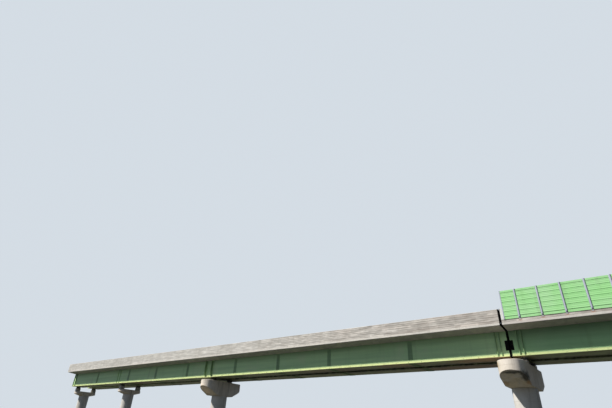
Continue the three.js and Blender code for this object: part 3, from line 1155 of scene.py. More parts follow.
@dataclass(frozen=True)
class Bolt:
    """A hexagonal bolt head on a washer."""

    radius: float = 0.02
    height: float = 0.018
    sides: int = 6
    washer: float = 0.028
    washer_height: float = 0.005
    washer_facets: int = 8

    def put(
        self, piece: Piece, finish: Finish, axis: Axis, outwards: int, places: Sequence[Place]
    ) -> None:
        """Adds a bolt to a piece at each place.

        Args:
            piece: The piece that takes the bolts.
            finish: What they are finished in.
            axis: The axis that they run along.
            outwards: The sign of the way that their heads point.
            places: Where they stand on the piece's surface.
        """
        foot, top = outwards * self.washer_height, outwards * (self.washer_height + self.height)
        washer = polygon(self.washer_facets, self.washer)
        piece.add(Solid.prism(washer, axis, 0.0, foot), finish, places)
        piece.add(Solid.prism(polygon(self.sides, self.radius), axis, foot, top), finish, places)


@dataclass
class Column:
    """A round pier column, cast in lifts between two half-round moulds."""

    number: int
    lift: float = 1.5
    groove_depth: float = 0.012
    groove_height: float = 0.03
    seam_height: float = 0.006
    seam_angle: float = math.radians(2.5)
    facets: int = 96
    top_edge: float = 0.02

    def ring(self, box: Extent, radius: float, height: float) -> np.ndarray:
        """Lays one ring of the column, with its two mould seams standing proud.

        Args:
            box: The column's box.
            radius: The radius of this ring.
            height: Its height over the ground.

        Returns:
            The ring's corners.
        """
        angles = [2 * math.pi * i / self.facets for i in range(self.facets)]
        for seam in (0.0, math.pi):
            angles += [seam + self.seam_angle / 2, (seam - self.seam_angle / 2) % (2 * math.pi)]
        ring = []
        for angle in sorted(angles):
            proud = self.seam_height if abs(math.sin(angle)) < math.sin(self.seam_angle / 4) else 0.0
            reach = radius + proud
            station = box.middle.x + reach * math.cos(angle)
            ring.append((station, reach * math.sin(angle), height))
        return np.array(ring)

    def build(self) -> None:
        """Makes the column from the ground to its crosshead."""
        node = f"pier_{self.number}_column"
        box = Extent.of(node)
        radius, top = (box.high.x - box.low.x) / 2, box.high.z
        steps = [(0.0, radius - self.top_edge), (self.top_edge, radius)]
        lift = self.lift
        while lift < top - self.lift / 2:
            half = self.groove_height / 2
            steps += [(lift - half, radius), (lift, radius - self.groove_depth), (lift + half, radius)]
            lift += self.lift
        steps += [(top - self.top_edge, radius), (top, radius - self.top_edge)]
        piece = Piece(f"column_{self.number}", "piers", "pier_concrete")
        piece.add(Solid.through([self.ring(box, r, z) for z, r in steps]), PIER_CONCRETE)
        piece.make(node)


@dataclass
class Crosshead:
    """A pier's crosshead with round noses, its mould grooves and the seats of its bearings."""

    number: int
    top: float
    tip_bottom: float
    flat: float
    nose_facets: int = 20
    edge: float = 0.035
    groove_depth: float = 0.012
    groove_height: float = 0.03
    groove_drop: float = 0.52
    seat: Pair = (0.6, 0.84)
    seat_edge: float = 0.03

    def half_plan(self, radius: float, reach: float) -> list[Pair]:
        """Outlines the +X half of the plan, from the near tip to the far tip.

        Args:
            radius: The radius of the noses.
            reach: How far the nose centres are from the centreline.

        Returns:
            Points from the middle of the pier.
        """
        turns = [math.pi / 2 * i / self.nose_facets for i in range(self.nose_facets + 1)]
        half = [(radius * math.sin(t), -reach - radius * math.cos(t)) for t in turns]
        if self.flat:
            half += [(radius, -self.flat / 2), (radius, self.flat / 2)]
        half += [(radius * math.cos(t), reach + radius * math.sin(t)) for t in turns]
        return half

    def skin(self, levels: Sequence[Level], station: float) -> Solid:
        """Closes a stack of half plans and their mirror images, with caps that may slope along Y.

        Args:
            levels: The half plans with their heights, from the bottom up.
            station: The pier's station.

        Returns:
            The closed solid.
        """
        count = len(levels[0][0])
        rings = []
        for plan, heights in levels:
            right = [(station + x, y, z) for (x, y), z in zip(plan, heights)]
            left = [(station - x, y, z) for (x, y), z in zip(plan, heights)]
            rings.append(np.array(right + left[::-1]))
        body = Solid.through(rings)
        last = (len(levels) - 1) * 2 * count
        caps = []
        for i in range(count - 1):
            a, b, c, d = i, i + 1, 2 * count - 2 - i, 2 * count - 1 - i
            caps.append((d, c, b, a))
            caps.append((last + a, last + b, last + c, last + d))
        return Solid(body.corners, body.faces[2:] + tuple(caps))

    def levels(self, box: Extent) -> list[Level]:
        """Stacks the plans of a hammerhead whose underside rises from a flat middle to its tips.

        Args:
            box: The crosshead's box.

        Returns:
            A half plan and its heights for each level, from the bottom up.
        """
        radius, tip, low = (box.high.x - box.low.x) / 2, box.high.y, box.low.z
        reach = tip - radius
        slope = (self.tip_bottom - low) / (tip - self.flat / 2)
        plan = self.half_plan(radius, reach)
        small = self.half_plan(radius - self.edge, reach)
        under = [max(low, self.tip_bottom - slope * (tip - abs(y))) for _, y in plan]
        groove = self.top - self.groove_drop
        half = self.groove_height / 2
        cut = self.half_plan(radius - self.groove_depth, reach)
        count = len(plan)
        return [
            (small, under),
            (plan, [z + self.edge for z in under]),
            (plan, [groove - half] * count),
            (cut, [groove] * count),
            (plan, [groove + half] * count),
            (plan, [self.top - self.edge] * count),
            (small, [self.top] * count),
        ]

    def seats(self) -> list[Pair]:
        """Finds the station and the Y of the middle of each bearing over this pier."""
        bearings = [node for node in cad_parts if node.startswith(f"bearing_{self.number}_")]
        return [tuple(Extent.of(node).middle.xy) for node in bearings]

    def build(self) -> None:
        """Makes the crosshead and its bearing seats."""
        node = f"pier_{self.number}_crosshead"
        box = Extent.of(node)
        piece = Piece(f"crosshead_{self.number}", "piers", "pier_concrete")
        piece.add(self.skin(self.levels(box), box.middle.x), CROSSHEAD_CONCRETE)
        long, wide = self.seat
        for x, y in self.seats():
            low = (x - long / 2, y - wide / 2, self.top)
            high = (x + long / 2, y + wide / 2, box.high.z)
            piece.add(Solid.block(low, high, self.seat_edge), SEAT_CONCRETE)
        piece.make(node)


@dataclass
class DishCrosshead(Crosshead):
    """A short crosshead that spreads from its column like a dish."""

    def levels(self, box: Extent) -> list[Level]:
        """Stacks a circle over the column and the round-ended slab that it spreads into.

        Args:
            box: The crosshead's box.

        Returns:
            A half plan and its heights for each level, from the bottom up.
        """
        radius, tip, low = (box.high.x - box.low.x) / 2, box.high.y, box.low.z
        reach = tip - radius
        plan, circle = self.half_plan(radius, reach), self.half_plan(radius, 0.0)
        small = self.half_plan(radius - self.edge, reach)
        count = len(plan)
        return [
            (circle, [low] * count),
            (plan, [self.tip_bottom] * count),
            (plan, [self.top - self.edge] * count),
            (small, [self.top] * count),
        ]


@dataclass
class Bearing:
    """A laminated rubber bearing between two steel plates, bolted down to its seat."""

    node: str
    plate: float = 0.04
    pad: Pair = (0.5, 0.65)
    pad_corner: float = 0.03
    layers: int = 4
    bulge: float = 0.012
    shim: float = 0.008
    edge: float = 0.004
    bolt: Bolt = Bolt(radius=0.017, height=0.03, washer=0.022)
    bolt_inset: float = 0.024

    def layer(self, x: float, y: float, low: float, high: float) -> Solid:
        """Makes one rubber layer that bulges between its shims.

        Args:
            x: The station of its middle.
            y: The Y of its middle.
            low: Its underside.
            high: Its top.

        Returns:
            The layer.
        """
        rings = []
        for height, out in ((low, 0.0), ((low + high) / 2, self.bulge), (high, 0.0)):
            a, b = (size / 2 + out for size in self.pad)
            plan = rectangle(x - a, x + a, y - b, y + b, self.pad_corner)
            rings.append(Axis.UP.ring(plan, height))
        return Solid.through(rings)

    def build(self) -> None:
        """Makes the plates, shims, rubber and anchor bolts."""
        box = Extent.of(self.node)
        low, high, middle = box.low, box.high, box.middle
        piece = Piece(f"{self.node}_pad", "piers", "bearing_rubber")
        for bottom in (low.z, high.z - self.plate):
            corner = (high.x, high.y, bottom + self.plate)
            piece.add(Solid.block((low.x, low.y, bottom), corner, self.edge), OLD_STEEL)
        step = (high.z - low.z - 2 * self.plate) / self.layers
        for i in range(self.layers):
            bottom = low.z + self.plate + i * step
            gap = self.shim if i + 1 < self.layers else 0.0
            piece.add(self.layer(middle.x, middle.y, bottom, bottom + step - gap), BEARING_RUBBER)
            if gap:
                a, b = self.pad[0] / 2, self.pad[1] / 2
                start = (middle.x - a, middle.y - b, bottom + step - gap)
                piece.add(Solid.block(start, (middle.x + a, middle.y + b, bottom + step)), OLD_STEEL)
        a, b = high.x - middle.x - self.bolt_inset, high.y - middle.y - self.bolt_inset
        corners = [(i * a, j * b) for i in (-1, 1) for j in (-1, 1)]
        places = [(middle.x + x, middle.y + y, low.z + self.plate) for x, y in corners]
        self.bolt.put(piece, ZINC, Axis.UP, 1, places)
        piece.make(self.node)


@dataclass
class UnitPart:
    """A sub-assembly of one unit."""

    unit: Unit

    @property
    def tag(self) -> str:
        """What the names of its nodes and pieces end in."""
        return self.unit.value

    def box(self, node: str) -> Extent:
        """Reads the box of the node whose name ends in the tag."""
        return Extent.of(f"{node}_{self.tag}")

    def piece(self, name: str, slot: str) -> Piece:
        """Starts a piece whose name ends in the tag, on the unit's body."""
        return Piece(f"{name}_{self.tag}", self.unit.body, slot)


@dataclass
class SidePart(UnitPart):
    """A sub-assembly that a unit has once on each side."""

    side: Side

    @property
    def tag(self) -> str:
        """What the names of its nodes and pieces end in."""
        return f"{self.unit.value}_{self.side.value}"


@dataclass
class DeckSlab(UnitPart):
    """One unit's deck slab, cast in bays, with a drip groove under each overhang."""

    edge_bottom: float = 12.47
    bay: float = 9.0
    edge: float = 0.012
    groove_inset: float = 0.14
    groove: float = 0.05
    nosing: Pair = (0.12, 0.012)
    nosing_inset: float = 0.3
    nosing_edge: float = 0.003

    def outline(self, box: Extent) -> Outline:
        """Outlines the slab's section, in Y and Z.

        Args:
            box: The slab's box.

        Returns:
            The section's points.
        """
        half, bottom, top, edge = box.high.y, box.low.z, box.high.z, self.edge
        slope = (self.edge_bottom - bottom) / (half - OUTER_WEB)
        groove = half - self.groove_inset
        under = [groove - self.groove, groove - self.groove / 2, groove]
        lift = [0.0, self.groove / 2, 0.0]
        right = [(OUTER_WEB, bottom)]
        right += [(y, bottom + slope * (y - OUTER_WEB) + up) for y, up in zip(under, lift)]
        right += [(half - edge, self.edge_bottom), (half, self.edge_bottom + edge)]
        right += [(half, top - edge), (half - edge, top)]
        return right + [(-y, z) for y, z in reversed(right)]

    def build(self) -> None:
        """Makes the slab and the steel nosing at its joint."""
        box = self.box("deck")
        piece = self.piece("deck_slab", "deck_concrete")
        outline, finish = self.outline(box), DECK_FINISHES[self.unit]
        for start, end in bays(box.low.x, box.high.x, self.bay):
            piece.add(Solid.prism(outline, Axis.ALONG, start, end, self.edge / 2), finish)
        face, back = (box.high.x, -1) if self.unit is Unit.LEFT else (box.low.x, 1)
        wide, thick = self.nosing
        half = box.high.y - self.nosing_inset
        end = (face + back * wide, half, box.high.z + thick)
        piece.add(Solid.block((face, -half, box.high.z), end, self.nosing_edge), OLD_STEEL)
        piece.make(f"deck_{self.tag}")


@dataclass
class Parapet(SidePart):
    """A concrete parapet, cast in bays against horizontal boards."""

    board: float = PARAPET_CONCRETE.board
    seam: float = 0.005
    chamfer: float = 0.03
    bay: float = 9.0
    facing: Pair = (0.13, 0.375)
    facing_bottom: float = 12.97
    facing_thickness: float = 0.01
    facing_edge: float = 0.003

    def outline(self, box: Extent) -> Outline:
        """Outlines the section with a V-shaped seam between boards on both faces.

        Args:
            box: The parapet's box.

        Returns:
            Points in Y and Z.
        """
        high, bottom, top = box.high.y, box.low.z, box.high.z
        seams = np.arange(bottom + self.board, top - self.chamfer - self.seam, self.board).tolist()
        face = [(high, bottom)]
        for z in seams:
            face += [(high, z - self.seam), (high - self.seam, z), (high, z + self.seam)]
        face += [(high, top - self.chamfer), (high - self.chamfer, top)]
        return face + [(2 * box.middle.y - y, z) for y, z in reversed(face)]

    def build(self) -> None:
        """Makes the parapet; beside the right unit's joint it has a facing of white mortar."""
        box = self.box("parapet")
        outline = self.outline(box)
        piece = self.piece("parapet_wall", "parapet_concrete")
        for first, last in bays(box.low.x, box.high.x, self.bay):
            piece.add(Solid.prism(outline, Axis.ALONG, first, last, self.seam / 2), PARAPET_CONCRETE)
        if self.unit is Unit.RIGHT:
            face = box.face(self.side.sign)
            out = face + self.side.sign * self.facing_thickness
            start, end = self.facing
            corner = (end, out, box.high.z - self.chamfer)
            facing = Solid.block((start, face, self.facing_bottom), corner, self.facing_edge)
            piece.add(facing, END_MORTAR)
        piece.make(f"parapet_{self.tag}")


@dataclass
class TrackBed(SidePart):
    """A track's concrete bed and its two raised strips, with rows of base plates and clips."""

    strip_centre: float = 0.75
    strip_width: float = 0.45
    strip_height: float = 0.2
    strip_length: float = 6.0
    drain: float = 0.12
    edge: float = 0.015
    plate: Place = (0.2, 0.36, 0.025)
    plate_edge: float = 0.004
    plate_pitch: float = 0.75
    clip: Place = (0.09, 0.06, 0.04)
    clip_edge: float = 0.01
    clip_reach: float = 0.1
    bolt: Bolt = Bolt(radius=0.018, height=0.03, washer=0.025)
    bolt_inset: float = 0.0275

    def plates(self, piece: Piece, start: float, end: float, y: float, z: float) -> None:
        """Adds the base plates, clips and bolts of one strip.

        Args:
            piece: The piece that takes them.
            start: The strip's first station.
            end: Its last station.
            y: Its centreline.
            z: Its top.
        """
        stations = spread(round((end - start) / self.plate_pitch), start, end)
        base = Solid.standing(self.plate, self.plate_edge)
        clip = Solid.standing(self.clip, self.clip_edge)
        piece.add(base, OLD_STEEL, [(x, y, z) for x in stations])
        _, wide, thick = self.plate
        for hand in (-1, 1):
            piece.add(clip, ZINC, [(x, y + hand * self.clip_reach, z + thick) for x in stations])
            out = y + hand * (wide / 2 - self.bolt_inset)
            self.bolt.put(piece, ZINC, Axis.UP, 1, [(x, out, z + thick) for x in stations])

    def build(self) -> None:
        """Makes the bed, its strips and their plates."""
        box = self.box("track_bed")
        low, high = box.low, box.high
        shoulder = high.z - self.strip_height
        piece = self.piece("track_slab", "track_concrete")
        bed = rectangle(low.y, high.y, low.z, shoulder, self.edge)
        for start, end in bays(low.x, high.x, self.strip_length):
            piece.add(Solid.prism(bed, Axis.ALONG, start, end, self.edge / 2), TRACK_CONCRETE)
            for hand in (-1, 1):
                y, half = box.middle.y + hand * self.strip_centre, self.strip_width / 2
                a, b = start + self.drain / 2, end - self.drain / 2
                strip = Solid.block((a, y - half, shoulder), (b, y + half, high.z), self.edge)
                piece.add(strip, TRACK_CONCRETE)
                self.plates(piece, a, b, y, high.z)
        piece.make(f"track_bed_{self.tag}")


@dataclass
class CableTrough(UnitPart):
    """A concrete trough between the tracks, closed by loose lids."""

    lid_height: float = 0.07
    lid_length: float = 1.0
    lid_gap: float = 0.012
    lid_overhang: float = 0.05
    wall: float = 0.08
    edge: float = 0.008

    def build(self) -> None:
        """Makes the trough and its row of lids."""
        box = self.box("cable_trough")
        low, high = box.low, box.high
        half, rim = high.y - self.lid_overhang, high.z - self.lid_height
        floor, inner = low.z + self.wall, half - self.wall
        section = [(half, low.z), (half, rim), (inner, rim), (inner, floor)]
        section += [(-y, z) for y, z in reversed(section)]
        piece = self.piece("trough_and_lids", "track_concrete")
        piece.add(Solid.prism(section, Axis.ALONG, low.x, high.x), TROUGH_CONCRETE)
        for start, end in bays(low.x, high.x, self.lid_length):
            corner = (end - self.lid_gap / 2, high.y, high.z)
            lid = Solid.block((start + self.lid_gap / 2, low.y, rim), corner, self.edge)
            piece.add(lid, TROUGH_CONCRETE)
        piece.make(f"cable_trough_{self.tag}")


@dataclass
class GirderSplices(SidePart):
    """Bolted splice plates on the webs and under the bottom flange of one box girder."""

    stations: tuple[float, ...]
    web_plate: Pair = (0.54, 0.018)
    web_clear: Pair = (0.32, 0.14)
    web_columns: int = 4
    flange_plate: Place = (0.8, 0.06, 0.022)
    flange_columns: int = 6
    bolt_pitch: float = 0.105
    bolt: Bolt = Bolt()
    edge: float = 0.004

    def rows(self, start: float, end: float) -> list[float]:
        """Spaces bolts evenly between two places, clear of the plate's edges."""
        count = int((end - start - self.bolt_pitch) / self.bolt_pitch)
        return np.linspace(start + self.bolt_pitch / 2, end - self.bolt_pitch / 2, count + 1).tolist()

    def columns(self, count: int, wide: float) -> list[float]:
        """Lists the stations of the columns of bolts, over all the splices."""
        return [station + x for station in self.stations for x in spread(count, -wide / 2, wide / 2)]

    def plates(self, piece: Piece, low: Place, high: Place) -> None:
        """Adds a plate at every splice, given its corners at the joint."""
        places = [(station, 0.0, 0.0) for station in self.stations]
        piece.add(Solid.block(low, high, self.edge), SPLICE_GREEN_AND_SHADE, places)

    def web(self, piece: Piece, face: float, outwards: int, low: float, high: float) -> None:
        """Adds the splice plates of one web with their bolts.

        Args:
            piece: The piece that takes them.
            face: The Y of the web's outer face.
            outwards: The sign of the way out from it.
            low: The bottom of the plates.
            high: Their top.
        """
        wide, thick = self.web_plate
        surface = face + outwards * thick
        self.plates(piece, (-wide / 2, face, low), (wide / 2, surface, high))
        columns, rows = self.columns(self.web_columns, wide), self.rows(low, high)
        places = [(x, surface, z) for x in columns for z in rows]
        self.bolt.put(piece, SPLICE_GREEN_AND_SHADE, Axis.ACROSS, outwards, places)

    def build(self) -> None:
        """Makes the plates and bolts of every splice."""
        box, sign = self.box("girder"), self.side.sign
        piece = self.piece("girder_splices", "girder_green")
        bottom, top = self.web_clear
        for face, outwards in ((sign * OUTER_WEB, sign), (sign * INNER_WEB, -sign)):
            self.web(piece, face, outwards, box.low.z + bottom, box.high.z - top)
        long, margin, thick = self.flange_plate
        inner, outer, under = box.low.y + margin, box.high.y - margin, box.low.z - thick
        self.plates(piece, (-long / 2, inner, under), (long / 2, outer, box.low.z))
        columns, rows = self.columns(self.flange_columns, long), self.rows(inner, outer)
        places = [(x, y, under) for x in columns for y in rows]
        self.bolt.put(piece, SPLICE_GREEN_AND_SHADE, Axis.UP, -1, places)
        piece.make()


@dataclass
class WebPlates(SidePart):
    """Deep stiffeners over the bearings and small lugs along the flange, outside one girder."""

    stations: tuple[Pair, ...]
    thickness: float = 0.07
    foot: float = 0.09
    rise: float = 0.45
    head: float = 0.12
    head_gap: float = 0.01
    edge: float = 0.004
    lug: Place = (0.05, 0.09, 0.085)
    lug_edge: float = 0.006
    lug_pitch: float = 1.55
    flange: float = 0.05

    def build(self) -> None:
        """Makes the stiffeners and the lugs."""
        box, sign = self.box("girder"), self.side.sign
        low, high = box.low.z + self.flange, box.high.z - self.head_gap
        piece = self.piece("girder_stiffeners", "girder_green")
        half = self.thickness / 2
        for station, depth in self.stations:
            section = [
                (0.0, low), (self.foot, low), (depth, low + self.rise),
                (depth, high - self.head), (self.foot, high), (0.0, high),
            ]
            outline = [(sign * (OUTER_WEB + out), z) for out, z in section]
            plate = Solid.prism(outline, Axis.ALONG, station - half, station + half, self.edge)
            # Painted shade: the stiffeners take the darker paint so that they read as their shaded faces
            # and the shade beside them.
            piece.add(plate, SPLICE_GREEN_AND_SHADE)
        long, out, tall = self.lug
        start = (-long / 2, sign * OUTER_WEB, low)
        lug = Solid.block(start, (long / 2, sign * (OUTER_WEB + out), low + tall), self.lug_edge)
        places = [(a, 0.0, 0.0) for a, _ in bays(box.low.x, box.high.x, self.lug_pitch)[1:]]
        piece.add(lug, GIRDER_FINISHES[self.unit], places)
        piece.make()


@dataclass
class JointSealAndShade(UnitPart):
    """Black seals on one unit's end faces at the middle joint, partly real seals and partly painted
    shade, and a black sheet of painted shade behind each girder notch; the left unit also has the
    covers.
    """

    lip: float = 0.015
    wrap: float = 0.045
    proud: float = 0.01
    web: Pair = (0.59, 2.9)
    flange: Pair = (0.49, 3.0)
    flange_top: float = 9.88
    notch: Pair = (10.25, 11.5)
    notch_back: float = 2.72
    notch_run: Pair = (0.02, 0.5)
    notch_thickness: float = 0.02
    cover: Place = (0.2, 0.015, 0.015)
    cover_overlap: float = 0.1
    cover_edge: float = 0.003
    wall_clear: Pair = (0.05, 0.02)
    floor_inner: float = 3.25
    floor_clear: float = 0.06

    def build(self) -> None:
        """Makes the seals of the slab, the parapets and the girders, and the sheets of painted shade
        behind the notches.
        """
        deck, margin = self.box("deck"), self.proud
        face, out = (deck.high.x, 1) if self.unit is Unit.LEFT else (deck.low.x, -1)
        piece = self.piece("joint_seal_and_shade", "bearing_rubber")
        outlines = [inset(anticlockwise(DeckSlab(self.unit).outline(deck)), -margin)]
        for side in Side:
            sign, part = side.sign, SidePart(self.unit, side)
            wall, girder = part.box("parapet"), part.box("girder")
            low, high = wall.low, wall.high
            outlines.append(rectangle(low.y - margin, high.y + margin, low.z, high.z + margin))
            for (inner, outer), low, high in (
                (self.web, self.flange_top, girder.high.z - margin),
                (self.flange, girder.low.z - margin, self.flange_top),
            ):
                outlines.append(rectangle(sign * inner, sign * outer, low, high))
            # Painted shade: a black sheet behind each notch in the web stands for the shade inside the
            # box girder.
            first, last = (face - out * run for run in self.notch_run)
            start = (first, sign * self.notch_back, self.notch[0])
            end = (last, sign * (self.notch_back + self.notch_thickness), self.notch[1])
            piece.add(Solid.block(start, end), JOINT_RUBBER_AND_SHADE)
            if self.unit is Unit.LEFT:
                self.covers(piece, wall, deck, sign)
        start, end = face - out * self.wrap, face + out * self.lip
        for outline in outlines:
            piece.add(Solid.prism(outline, Axis.ALONG, start, end), JOINT_RUBBER_AND_SHADE)
        piece.make()

    def covers(self, piece: Piece, wall: Extent, deck: Extent, sign: int) -> None:
        """Adds the sliding covers behind the parapet's gap and over the slab's.

        Args:
            piece: The piece that takes them.
            wall: The parapet's box.
            deck: The slab's box.
            sign: The sign of Y on this side.
        """
        reach, thick, clear = self.cover
        start, end = deck.high.x - reach, deck.high.x + reach + self.cover_overlap
        bottom, top = self.wall_clear
        inside, floor = wall.face(-sign), deck.high.z + clear
        behind, back = inside - sign * clear, inside - sign * (clear + thick)
        outer = inside - sign * self.floor_clear
        for low, high in (
            ((start, behind, wall.low.z + bottom), (end, back, wall.high.z - top)),
            ((start, sign * self.floor_inner, floor), (end, outer, floor + thick)),
        ):
            piece.add(Solid.block(low, high, self.cover_edge), JOINT_RUBBER_AND_SHADE)


@dataclass
class NoiseBarrier:
    """The noise barrier on one side of the right unit: posts, and planks slid in between them."""

    side: Side
    post_width: float = 0.2
    post_front: float = 0.35
    post_step: float = 0.045
    slant_rise: float = 0.13
    slant_reach: float = 0.25
    strip_width: float = 0.1
    strip_depth: float = 0.075
    strip_corner: float = 0.008
    plank_rows: int = 5
    plank_thickness: float = 0.05
    plank_inset: float = 0.01
    plank_gap: float = 0.001
    post_gap: float = 0.004
    cap: float = 0.23
    cap_out: float = 0.062
    cap_drop: float = 0.01
    sill: float = 0.25
    sill_out: float = 0.038
    rail_gap: float = 0.02
    rail_corner: float = 0.006
    sheet_lap: float = 0.05
    seam: float = 0.036
    seam_depth: float = 0.024
    seam_floor: float = 0.8
    rib_depth: float = 0.003
    rib: Pair = (0.03, 0.018)
    foot: Place = (0.18, 0.014, 0.13)
    foot_edge: float = 0.004
    foot_gap: float = 0.005
    bolt: Bolt = Bolt(radius=0.014, height=0.012, washer=0.02)
    bolt_share: float = 0.3

    def posts(self, box: Extent) -> list[Pair]:
        """Lists the posts, with a closing strip at each end.

        Args:
            box: The barrier's box.

        Returns:
            The station and the width of each, from the joint on.
        """
        end = self.strip_width
        stations = np.arange(FIRST_POST, box.high.x - POST_PITCH / 2, POST_PITCH).tolist()
        middle = [(station, self.post_width) for station in stations]
        return [(box.low.x + end / 2, end), *middle, (box.high.x - end / 2, end)]

    def post(self, x: float, width: float, box: Extent, inner: float, outer: float) -> Solid:
        """Makes a folded post: square at the back, with slanting flanks and a slanting foot.

        Args:
            x: The post's station.
            width: Its width.
            box: The barrier's box.
            inner: The Y of its inner face.
            outer: The Y of its outer face.

        Returns:
            The post.
        """
        half, step = width / 2, math.copysign(self.post_step, outer - inner)
        rings = []
        bottom, top = box.low.z, box.high.z
        for height, reach in ((bottom, self.slant_reach), (bottom + self.slant_rise, 1.0), (top, 1.0)):
            front = inner + (outer - inner) * reach
            side = [(half, inner), (half, inner + step * reach), (half * self.post_front, front)]
            section = [(x + a, b) for a, b in side] + [(x - a, b) for a, b in reversed(side)]
            rings.append(Axis.UP.ring(anticlockwise(section), height))
        return Solid.through(rings)

    def plank_section(self, middle: float, low: float, high: float) -> Outline:
        """Outlines a plank with two shallow ribs on each face, in Y and Z.

        Args:
            middle: The Y of its middle.
            low: Its lower edge.
            high: Its upper edge.

        Returns:
            The section's points.
        """
        half, edge, deep = self.plank_thickness / 2, self.seam, self.seam * self.seam_floor
        tongue, rib, (wide, narrow) = half - self.seam_depth, half - self.rib_depth, self.rib
        face = [(tongue, low), (tongue, low + deep), (half, low + edge)]
        for z in (low + (high - low) / 3, low + (high - low) * 2 / 3):
            face += [(half, z - wide), (rib, z - narrow), (rib, z + narrow), (half, z + wide)]
        face += [(half, high - edge), (tongue, high - deep), (tongue, high)]
        return [(middle + a, z) for a, z in face] + [(middle - a, z) for a, z in reversed(face)]

    def build(self) -> None:
        """Makes the posts with their feet, the closing strips, and the planks between them."""
        sign, name = self.side.sign, self.side.value
        node = f"barrier_posts_{name}"
        box = Extent.of(node)
        inner, outer = box.face(-sign), box.face(sign)
        stations = self.posts(box)
        first, *middle, last = stations
        posts = Piece(f"noise_barrier_posts_{name}", Unit.RIGHT.body, "barrier_post")
        for x, width in middle:
            posts.add(self.post(x, width, box, inner, outer), POST_GREY)
        for x, width in (first, last):
            front = inner + sign * self.strip_depth
            strip = rectangle(x - width / 2, x + width / 2, inner, front, self.strip_corner)
            posts.add(Solid.prism(strip, Axis.UP, box.low.z, box.high.z), POST_GREY)
        wide, thick, tall = self.foot
        surface, bottom = inner + sign * thick, box.low.z - tall
        corner = (wide / 2, surface, box.low.z - self.foot_gap)
        foot = Solid.block((-wide / 2, inner, bottom), corner, self.foot_edge)
        posts.add(foot, ZINC, [(x, 0.0, 0.0) for x, _ in middle])
        out = wide * self.bolt_share
        bolts = [(x + i * out, surface, bottom + tall / 2) for x, _ in middle for i in (-1, 1)]
        self.bolt.put(posts, ZINC, Axis.ACROSS, sign, bolts)
        posts.make(node)
        self.planks(box, stations, inner).make(f"barrier_wall_{name}")

    def planks(self, box: Extent, stations: Sequence[Pair], inner: float) -> Piece:
        """Fills the bays between the posts.

        Args:
            box: The barrier's box.
            stations: The station and the width of each post.
            inner: The Y of the posts' inner faces.

        Returns:
            The piece with a cap, a sill, rows of planks and a sheet behind them in every bay.
        """
        piece = Piece(f"noise_barrier_panels_{self.side.value}", Unit.RIGHT.body, "barrier_panel")
        foot, head = box.low.z + self.sill, box.high.z - self.cap
        marks = np.linspace(foot, head, self.plank_rows + 1).tolist()
        sign = self.side.sign
        middle = inner + sign * (self.plank_inset + self.plank_thickness / 2)
        gap, lap = self.plank_gap, self.sheet_lap
        sections = [self.plank_section(middle, a + gap, b - gap) for a, b in zip(marks, marks[1:])]
        for low, high, out, corner in (
            (head + self.rail_gap, box.high.z - self.cap_drop, self.cap_out, self.rail_corner),
            (box.low.z, foot - self.rail_gap, self.sill_out, self.rail_corner),
            (foot - lap, head + lap, self.plank_inset, 0.0),
        ):
            sections.append(rectangle(inner, inner + sign * out, low, high, corner))
        for (left, wide), (right, broad) in zip(stations, stations[1:]):
            start, end = left + wide / 2 + self.post_gap, right - broad / 2 - self.post_gap
            for section in sections:
                piece.add(Solid.prism(section, Axis.ALONG, start, end), PANEL_GREEN)
        return piece


@dataclass
class Crossbeam:
    """A crossbeam between the girders, with a stiffener on each side of its web and bolts below."""

    node: str
    unit: Unit
    half_web: float = 0.035
    flange: float = 0.052
    stiffener: Pair = (0.21, 0.02)
    edge: float = 0.003
    bolt: Bolt = Bolt()
    bolt_reach: Pair = (0.12, 0.45)

    def build(self) -> None:
        """Paints the beam, and adds its stiffeners and bolts."""
        dress(self.node, GIRDER_GREEN)
        box = Extent.of(self.node)
        x, (reach, thick) = box.middle.x, self.stiffener
        piece = Piece(f"{self.node}_stiffeners", self.unit.body, "girder_green")
        for hand in (-1, 1):
            start = (x + hand * self.half_web, -thick / 2, box.low.z + self.flange)
            end = (x + hand * reach, thick / 2, box.high.z - self.flange)
            piece.add(Solid.block(start, end, self.edge), SPLICE_GREEN_AND_SHADE)
        a, b = self.bolt_reach
        places = [(x + i * a, j * b, box.low.z) for i in (-1, 1) for j in (-1, 1)]
        self.bolt.put(piece, SPLICE_GREEN_AND_SHADE, Axis.UP, -1, places)
        piece.make()


def dress(node: str, finish: Finish) -> None:
    """Gives a node of the frame its finish.

    Args:
        node: The node's name.
        finish: Its finish.
    """
    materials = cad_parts[node].data.materials
    materials.clear()
    materials.append(finish.material())
    LOG.info("%s: finished in %s", node, finish.name)


